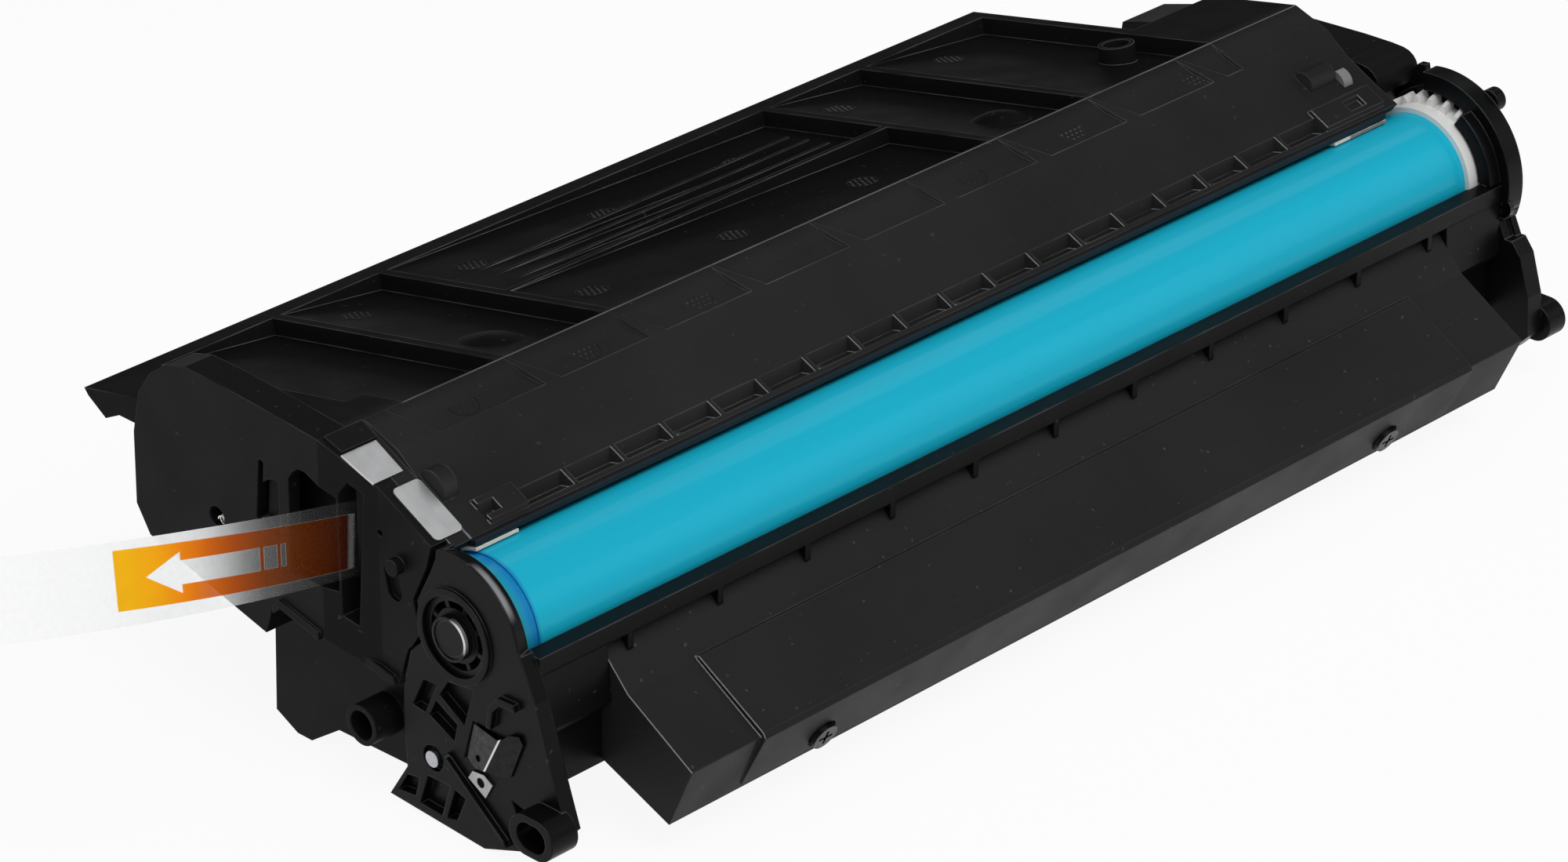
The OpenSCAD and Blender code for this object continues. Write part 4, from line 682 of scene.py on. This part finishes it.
def make_tape(material):
    """Pull tape as one thin curved strip with its own lengthwise coordinates."""
    stations = [(Vector((x, y, INNER_Z)), 0.0, s) for x, y, s in INNER_RUN]
    for i in range(TAPE_STEPS + 1):
        s = i / TAPE_STEPS
        stations.append((tape_middle(s), TAPE_LEAN * s, s))
    verts, coords = [], []
    count = len(stations)
    for i, (mid, lean, s) in enumerate(stations):
        ahead = stations[min(i + 1, count - 1)][0] - stations[max(i - 1, 0)][0]
        ahead.normalize()
        side = ahead.cross(Vector((0, 0, 1))).normalized()
        up = side.cross(ahead).normalized()
        lean = math.radians(lean)
        tall = up * math.cos(lean) + side * math.sin(lean)
        out = ahead.cross(tall).normalized()
        for k in range(TAPE_ACROSS + 1):
            t = k / TAPE_ACROSS * 2 - 1
            crown = TAPE_CROWN * (1 - t * t) * max(0.0, s)
            p = mid + tall * (t * TAPE_WIDTH / 2) + out * crown
            verts.append(p * MM)
            coords.append((s, t * TAPE_WIDTH / 2))
    row = TAPE_ACROSS + 1
    faces = [(i * row + k, (i + 1) * row + k, (i + 1) * row + k + 1, i * row + k + 1)
             for i in range(count - 1) for k in range(TAPE_ACROSS)]
    tape = add_mesh("pull_tape", verts, faces, material, "hopper_unit", smooth=True)
    layer = tape.data.uv_layers.new(name="along")
    for loop in tape.data.loops:
        layer.data[loop.index].uv = coords[loop.vertex_index]
    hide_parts("seal_tape")


# Places of the roof's round marks in millimetres, and the sizes of a mark: radius,
# width and height of its ring, then spacing, reach, radius and height of its beads
FRONT_MARKS = (26.8, 54.8, 81.7, 151.2, 177.9, 211.7)
FRONT_MARK_Y = 24.6
REAR_MARKS = ((72.2, 40.7), (106.4, 40.3), (140.3, 41.1), (48.0, 74.6), (74.3, 73.9),
              (107.2, 74.0), (141.1, 73.7), (168.8, 74.2), (201.4, 76.5))
COMB_MARK_X = (58.9, 93.2, 127.5, 161.9, 196.2)
COMB_MARK_Y = 6.4
MARK_RING = (2.9 * MM, 0.22 * MM, 0.07 * MM)
BEAD_PITCH = 1.18 * MM
BEAD_ROW = 0.87
BEAD_REACH = 2.45 * MM
BEAD = (0.40 * MM, 0.11 * MM)
COMB_RING = (0.8 * MM, 0.25 * MM, 0.10 * MM)
COMB_BEAD = (0.35 * MM, 0.09 * MM)
# How deep rings and beads reach into the surface under them
SEAT = 0.02 * MM
# Height over the drum axis the rays that find the surface start from
RAYS_FROM = 0.06


def surface_of(name):
    """Ray-casting tree of a CAD node, to seat small details on it."""
    mesh = NODES[name].data
    return BVHTree.FromPolygons([v.co.copy() for v in mesh.vertices],
                                [list(p.vertices) for p in mesh.polygons])


def disc_frame(tree, x, y):
    """Point of the surface above X and Y, two directions in it and its normal, or None."""
    hit, normal, _, _ = tree.ray_cast(Vector((x * MM, y * MM, RAYS_FROM)), Vector((0, 0, -1)))
    if hit is None:
        return None
    normal = normal if normal.z > 0 else -normal
    u = (Vector((1, 0, 0)) - normal * normal.x).normalized()
    return hit, u, normal.cross(u), normal


def bead(verts, faces, centre, u, v, n, radius, height, segments=10, rings=3):
    """A low round bead standing on the surface."""
    first = len(verts)
    for r in range(rings):
        a = r / rings * math.pi / 2
        rr, hh = radius * math.cos(a), height * math.sin(a)
        for k in range(segments):
            b = 2 * math.pi * k / segments
            flat = u * (rr * math.cos(b)) + v * (rr * math.sin(b))
            verts.append(centre + flat + n * (hh - SEAT))
    verts.append(centre + n * (height - SEAT))
    for r in range(rings - 1):
        for k in range(segments):
            a, b = first + r * segments + k, first + r * segments + (k + 1) % segments
            faces.append((a, b, b + segments, a + segments))
    top = first + rings * segments
    for k in range(segments):
        faces.append((top - segments + k, top - segments + (k + 1) % segments, top))
    faces.append(tuple(first + k for k in range(segments - 1, -1, -1)))


def ridge_ring(verts, faces, centre, u, v, n, radius, width, height, segments=40):
    """A thin raised ring."""
    first = len(verts)
    profile = ((-width / 2, -SEAT), (-width / 4, height),
               (width / 4, height), (width / 2, -SEAT))
    for k in range(segments):
        b = 2 * math.pi * k / segments
        d = u * math.cos(b) + v * math.sin(b)
        for dr, h in profile:
            verts.append(centre + d * (radius + dr) + n * h)
    m = len(profile)
    for k in range(segments):
        a, b = first + k * m, first + (k + 1) % segments * m
        for j in range(m):
            faces.append((a + j, a + (j + 1) % m, b + (j + 1) % m, b + j))


def make_marks(material):
    """Round grip marks on the roof: a fine ring filled with small beads."""
    tree = surface_of("hopper_lid")
    places = [(x, FRONT_MARK_Y) for x in FRONT_MARKS] + list(REAR_MARKS)
    for number, (x, y) in enumerate(places, 1):
        found = disc_frame(tree, x, y)
        if found is None:
            continue
        centre, u, v, n = found
        verts, faces = [], []
        ridge_ring(verts, faces, centre, u, v, n, *MARK_RING)
        for row in range(-2, 3):
            for col in range(-3, 4):
                px = (col + (0.5 if row % 2 else 0.0)) * BEAD_PITCH
                py = row * BEAD_PITCH * BEAD_ROW
                if math.hypot(px, py) < BEAD_REACH:
                    bead(verts, faces, centre + u * px + v * py, u, v, n, *BEAD)
        add_mesh(f"roof_mark_{number:02d}", verts, faces, material, "hopper_unit",
                 smooth=True)
    for number, x in enumerate(COMB_MARK_X, 1):
        found = disc_frame(tree, x, COMB_MARK_Y)
        if found is None:
            continue
        centre, u, v, n = found
        verts, faces = [], []
        ridge_ring(verts, faces, centre, u, v, n, *COMB_RING, segments=24)
        bead(verts, faces, centre, u, v, n, *COMB_BEAD)
        add_mesh(f"comb_mark_{number}", verts, faces, material, "hopper_unit",
                 smooth=True)


# Front nose of the gear cover in millimetres: outer and inner line of its skin across
# Y and Z and its run along X, then the wall at its right, from NOSE_WALL_X to near its end
NOSE_OUTER = ((17.2, 17.95), (13.9, 17.85), (12.5, 17.55), (11.4, 16.9), (10.6, 16.0),
              (10.15, 14.9), (10.0, 13.6), (10.25, 12.4))
NOSE_INNER = ((11.6, 12.7), (11.4, 13.7), (11.6, 14.6), (12.1, 15.4), (12.9, 16.0), (14.1, 16.3),
              (17.2, 16.4))
NOSE_X = (249.3, 261.4)
NOSE_WALL = ((16.6, 17.2), (13.6, 17.1), (11.6, 16.3), (10.3, 14.7), (8.9, 16.4), (7.3, 16.6),
             (6.9, 14.6), (7.4, 12.6), (9.3, 10.6), (12.0, 8.8), (14.6, 7.6))
NOSE_WALL_X = 259.9
NOSE_WALL_SET_BACK = 0.05


def make_cover_nose(material):
    """Rounded front end of the gear cover: a curved skin closed by a wall at the right."""
    outline = NOSE_OUTER + NOSE_INNER
    count = len(outline)
    verts, faces = [], []

    def ring(x, points):
        first = len(verts)
        verts.extend(Vector((x, y, z)) * MM for y, z in points)
        return first

    a = ring(NOSE_X[0], outline)
    b = ring(NOSE_X[1], outline)
    faces.extend((a + i, a + (i + 1) % count, b + (i + 1) % count, b + i) for i in range(count))
    faces.append(tuple(range(a + count - 1, a - 1, -1)))
    faces.append(tuple(range(b, b + count)))
    size = len(NOSE_WALL)
    c = ring(NOSE_WALL_X, NOSE_WALL)
    d = ring(NOSE_X[1] - NOSE_WALL_SET_BACK, NOSE_WALL)
    faces.extend((c + (i + 1) % size, c + i, d + i, d + (i + 1) % size) for i in range(size))
    faces.append(tuple(range(c, c + size)))
    faces.append(tuple(range(d + size - 1, d - 1, -1)))
    add_mesh("gear_cover_nose", verts, faces, material, "hopper_unit")


# Coil in millimetres: its run along X, Y and Z of its axis, radius and wire radius,
# then its turns, the steps of a turn and the corners of the wire
COIL_X = (-1.2, 1.2)
COIL_AT = (54.5, 1.9)
COIL_R = 0.75
COIL_WIRE = 0.14
COIL_TURNS = 5
COIL_STEPS = 20
COIL_CORNERS = 6


def make_coil(material):
    """The sensor's coil inside the left cover's round hole."""
    verts, faces = [], []
    pitch = (COIL_X[1] - COIL_X[0]) / COIL_TURNS
    steps = COIL_TURNS * COIL_STEPS
    around = COIL_CORNERS
    for i in range(steps + 1):
        a = 2 * math.pi * i / COIL_STEPS
        spoke = Vector((0, math.cos(a), math.sin(a)))
        centre = Vector((COIL_X[0] + pitch * i / COIL_STEPS, *COIL_AT)) + spoke * COIL_R
        for k in range(around):
            b = 2 * math.pi * k / around
            out = spoke * (COIL_WIRE * math.cos(b)) + Vector((COIL_WIRE * math.sin(b), 0, 0))
            verts.append((centre + out) * MM)
    for i in range(steps):
        for k in range(around):
            p, q = i * around + k, i * around + (k + 1) % around
            faces.append((p, q, q + around, p + around))
    faces.append(tuple(range(around - 1, -1, -1)))
    faces.append(tuple(range(steps * around, (steps + 1) * around)))
    add_mesh("sensor_coil", verts, faces, material, "hopper_unit", smooth=True)


# Bush in millimetres: its run along X, Y and Z of its axis, its radius, how far its
# section reaches down from the top and in from the front, then the first angle,
# sweep and steps of its round
BUSH_X = (240.0, 242.4)
BUSH_AT = (13.5, 16.95)
BUSH_R = 2.8
BUSH_DOWN, BUSH_IN = 2.4, 2.2
BUSH_FROM, BUSH_SWEEP = 5, 80
BUSH_STEPS = 14


def make_bush(material):
    """The pale bush that shows beside the bump at the roof's right end."""
    verts, faces = [], []
    y, z = BUSH_AT
    angles = [math.radians(BUSH_FROM + BUSH_SWEEP * i / BUSH_STEPS) for i in range(BUSH_STEPS + 1)]
    profile = [(y - BUSH_R * math.cos(a), z + BUSH_R * math.sin(a)) for a in angles]
    profile.append((y, z + BUSH_R - BUSH_DOWN))
    profile.append((y - BUSH_R + BUSH_IN, z))
    count = len(profile)
    for x in BUSH_X:
        verts.extend(Vector((x, y, z)) * MM for y, z in profile)
    faces.extend((i, (i + 1) % count, count + (i + 1) % count, count + i) for i in range(count))
    faces.append(tuple(range(count - 1, -1, -1)))
    faces.append(tuple(range(count, 2 * count)))
    add_mesh("roller_bush", verts, faces, material, "hopper_unit")


# Floor, sky and lights

FLOOR_HALF = 6.0
# Share of the floor's white that is its own where the camera or a reflection sees it
FLOOR_GLOW = 0.92
# The sky: its colour, the way it is dimmer, and its strength over that direction's
# cosine: from, to, strength at the first and at the last
SKY_COLOUR = (0.95, 0.97, 1.0, 1.0)
SKY_DIM_TOWARD = (0.64, 0.77, 0.0)
SKY_FALL = (-0.1, 0.7, 0.46, 0.08)


def make_floor():
    """Pale floor, white in the picture and in reflections, that keeps its shadow."""
    mesh = bpy.data.meshes.new("floor")
    r = FLOOR_HALF
    corners = [(-r, -r, FLOOR_Z), (r, -r, FLOOR_Z), (r, r, FLOOR_Z), (-r, r, FLOOR_Z)]
    mesh.from_pydata(corners, [], [(0, 1, 2, 3)])
    floor = bpy.data.objects.new("floor", mesh)
    bpy.context.scene.collection.objects.link(floor)
    s = Shade("floor_pale")
    s.base(s.ramp(s.noise(3.0, 2.0), [(0.3, (0.93, 0.93, 0.93)), (0.7, (0.945, 0.945, 0.945))]))
    s.rough(s.span(s.noise(9.0, 2.0), 0.3, 0.7, 0.85, 0.95))
    s.set(Specular_IOR_Level=0.1)
    path = s.add("ShaderNodeLightPath")
    through = s.math("MAXIMUM", path.outputs["Is Glossy Ray"],
                     path.outputs["Is Transmission Ray"])
    seen = s.math("MAXIMUM", path.outputs["Is Camera Ray"], through)
    glow = s.add("ShaderNodeEmission")
    glow.inputs["Color"].default_value = (1.0, 1.0, 1.0, 1.0)
    glow.inputs["Strength"].default_value = 1.0
    blend = s.add("ShaderNodeMixShader")
    s.join(s.times(seen, FLOOR_GLOW), blend.inputs[0])
    s.join(s.bsdf.outputs[0], blend.inputs[1])
    s.join(glow.outputs[0], blend.inputs[2])
    s.join(blend.outputs[0], s.out.inputs[0])
    floor.data.materials.append(s.mat)


def make_sky():
    """An even sky, dimmer behind the object on the right."""
    world = bpy.data.worlds.new("studio")
    world.use_nodes = True
    tree = world.node_tree
    sky = tree.nodes["Background"]
    sky.inputs["Color"].default_value = SKY_COLOUR
    where = tree.nodes.new("ShaderNodeTexCoord")
    toward = tree.nodes.new("ShaderNodeVectorMath")
    toward.operation = "DOT_PRODUCT"
    toward.inputs[1].default_value = SKY_DIM_TOWARD
    fall = tree.nodes.new("ShaderNodeMapRange")
    for socket, value in zip((1, 2, 3, 4), SKY_FALL):
        fall.inputs[socket].default_value = value
    tree.links.new(where.outputs["Generated"], toward.inputs[0])
    tree.links.new(toward.outputs["Value"], fall.inputs[0])
    tree.links.new(fall.outputs[0], sky.inputs["Strength"])
    bpy.context.scene.world = world


# Soft boxes: name, place, width, height and power; all aim at one point
LIGHTS = (
    ("key_above", (-0.05, -0.75, 1.45), 1.5, 1.1, 15.0),
    ("fill_right", (1.45, -1.05, 0.75), 0.9, 0.9, 1.4),
    ("back_right", (1.35, 0.55, 1.35), 0.8, 0.6, 1.6),
    ("fill_left", (-1.5, -0.35, 0.85), 0.9, 0.9, 1.1),
)
LIGHT_AIM = (0.12, 0.02, 0.0)


def softbox(name, at, width, height, power):
    """Rectangular soft light at a place, turned to the common aim."""
    data = bpy.data.lights.new(name, "AREA")
    data.shape = "RECTANGLE"
    data.size = width
    data.size_y = height
    data.energy = power
    lamp = bpy.data.objects.new(name, data)
    bpy.context.scene.collection.objects.link(lamp)
    lamp.location = at
    lamp.rotation_euler = (Vector(LIGHT_AIM) - Vector(at)).to_track_quat("-Z", "Y").to_euler()


# Making the scene

# Nodes finished otherwise than the rest of their slot
FINER = {
    "drum_left_flange": "drum_end",
    "drum_contact": "dark_foil",
    "contact_spring_tab": "tab_foil",
    "bin_screws": "dark_screw",
    "housing_screw": "dark_screw",
    "hopper_lid": "roof_shell",
    "waste_bin_cover": "bin_shell",
    "left_drum_bearing": "bearing_and_pin",
}

make_camera()
materials = make_materials()
slots = {p["node"]: p["material_slot"] for p in frame["record"]["subparts"]}
for node_name, node_object in NODES.items():
    node_object.data.materials.clear()
    node_object.data.materials.append(materials[FINER.get(node_name, slots[node_name])])

make_tape(materials["tape_film"])
make_marks(materials["roof_shell"])
make_cover_nose(materials["black_shell"])
make_coil(materials["wire"])
make_bush(materials["pale_bush"])
make_floor()
make_sky()
for light in LIGHTS:
    softbox(*light)

bpy.context.scene.view_settings.view_transform = "Standard"
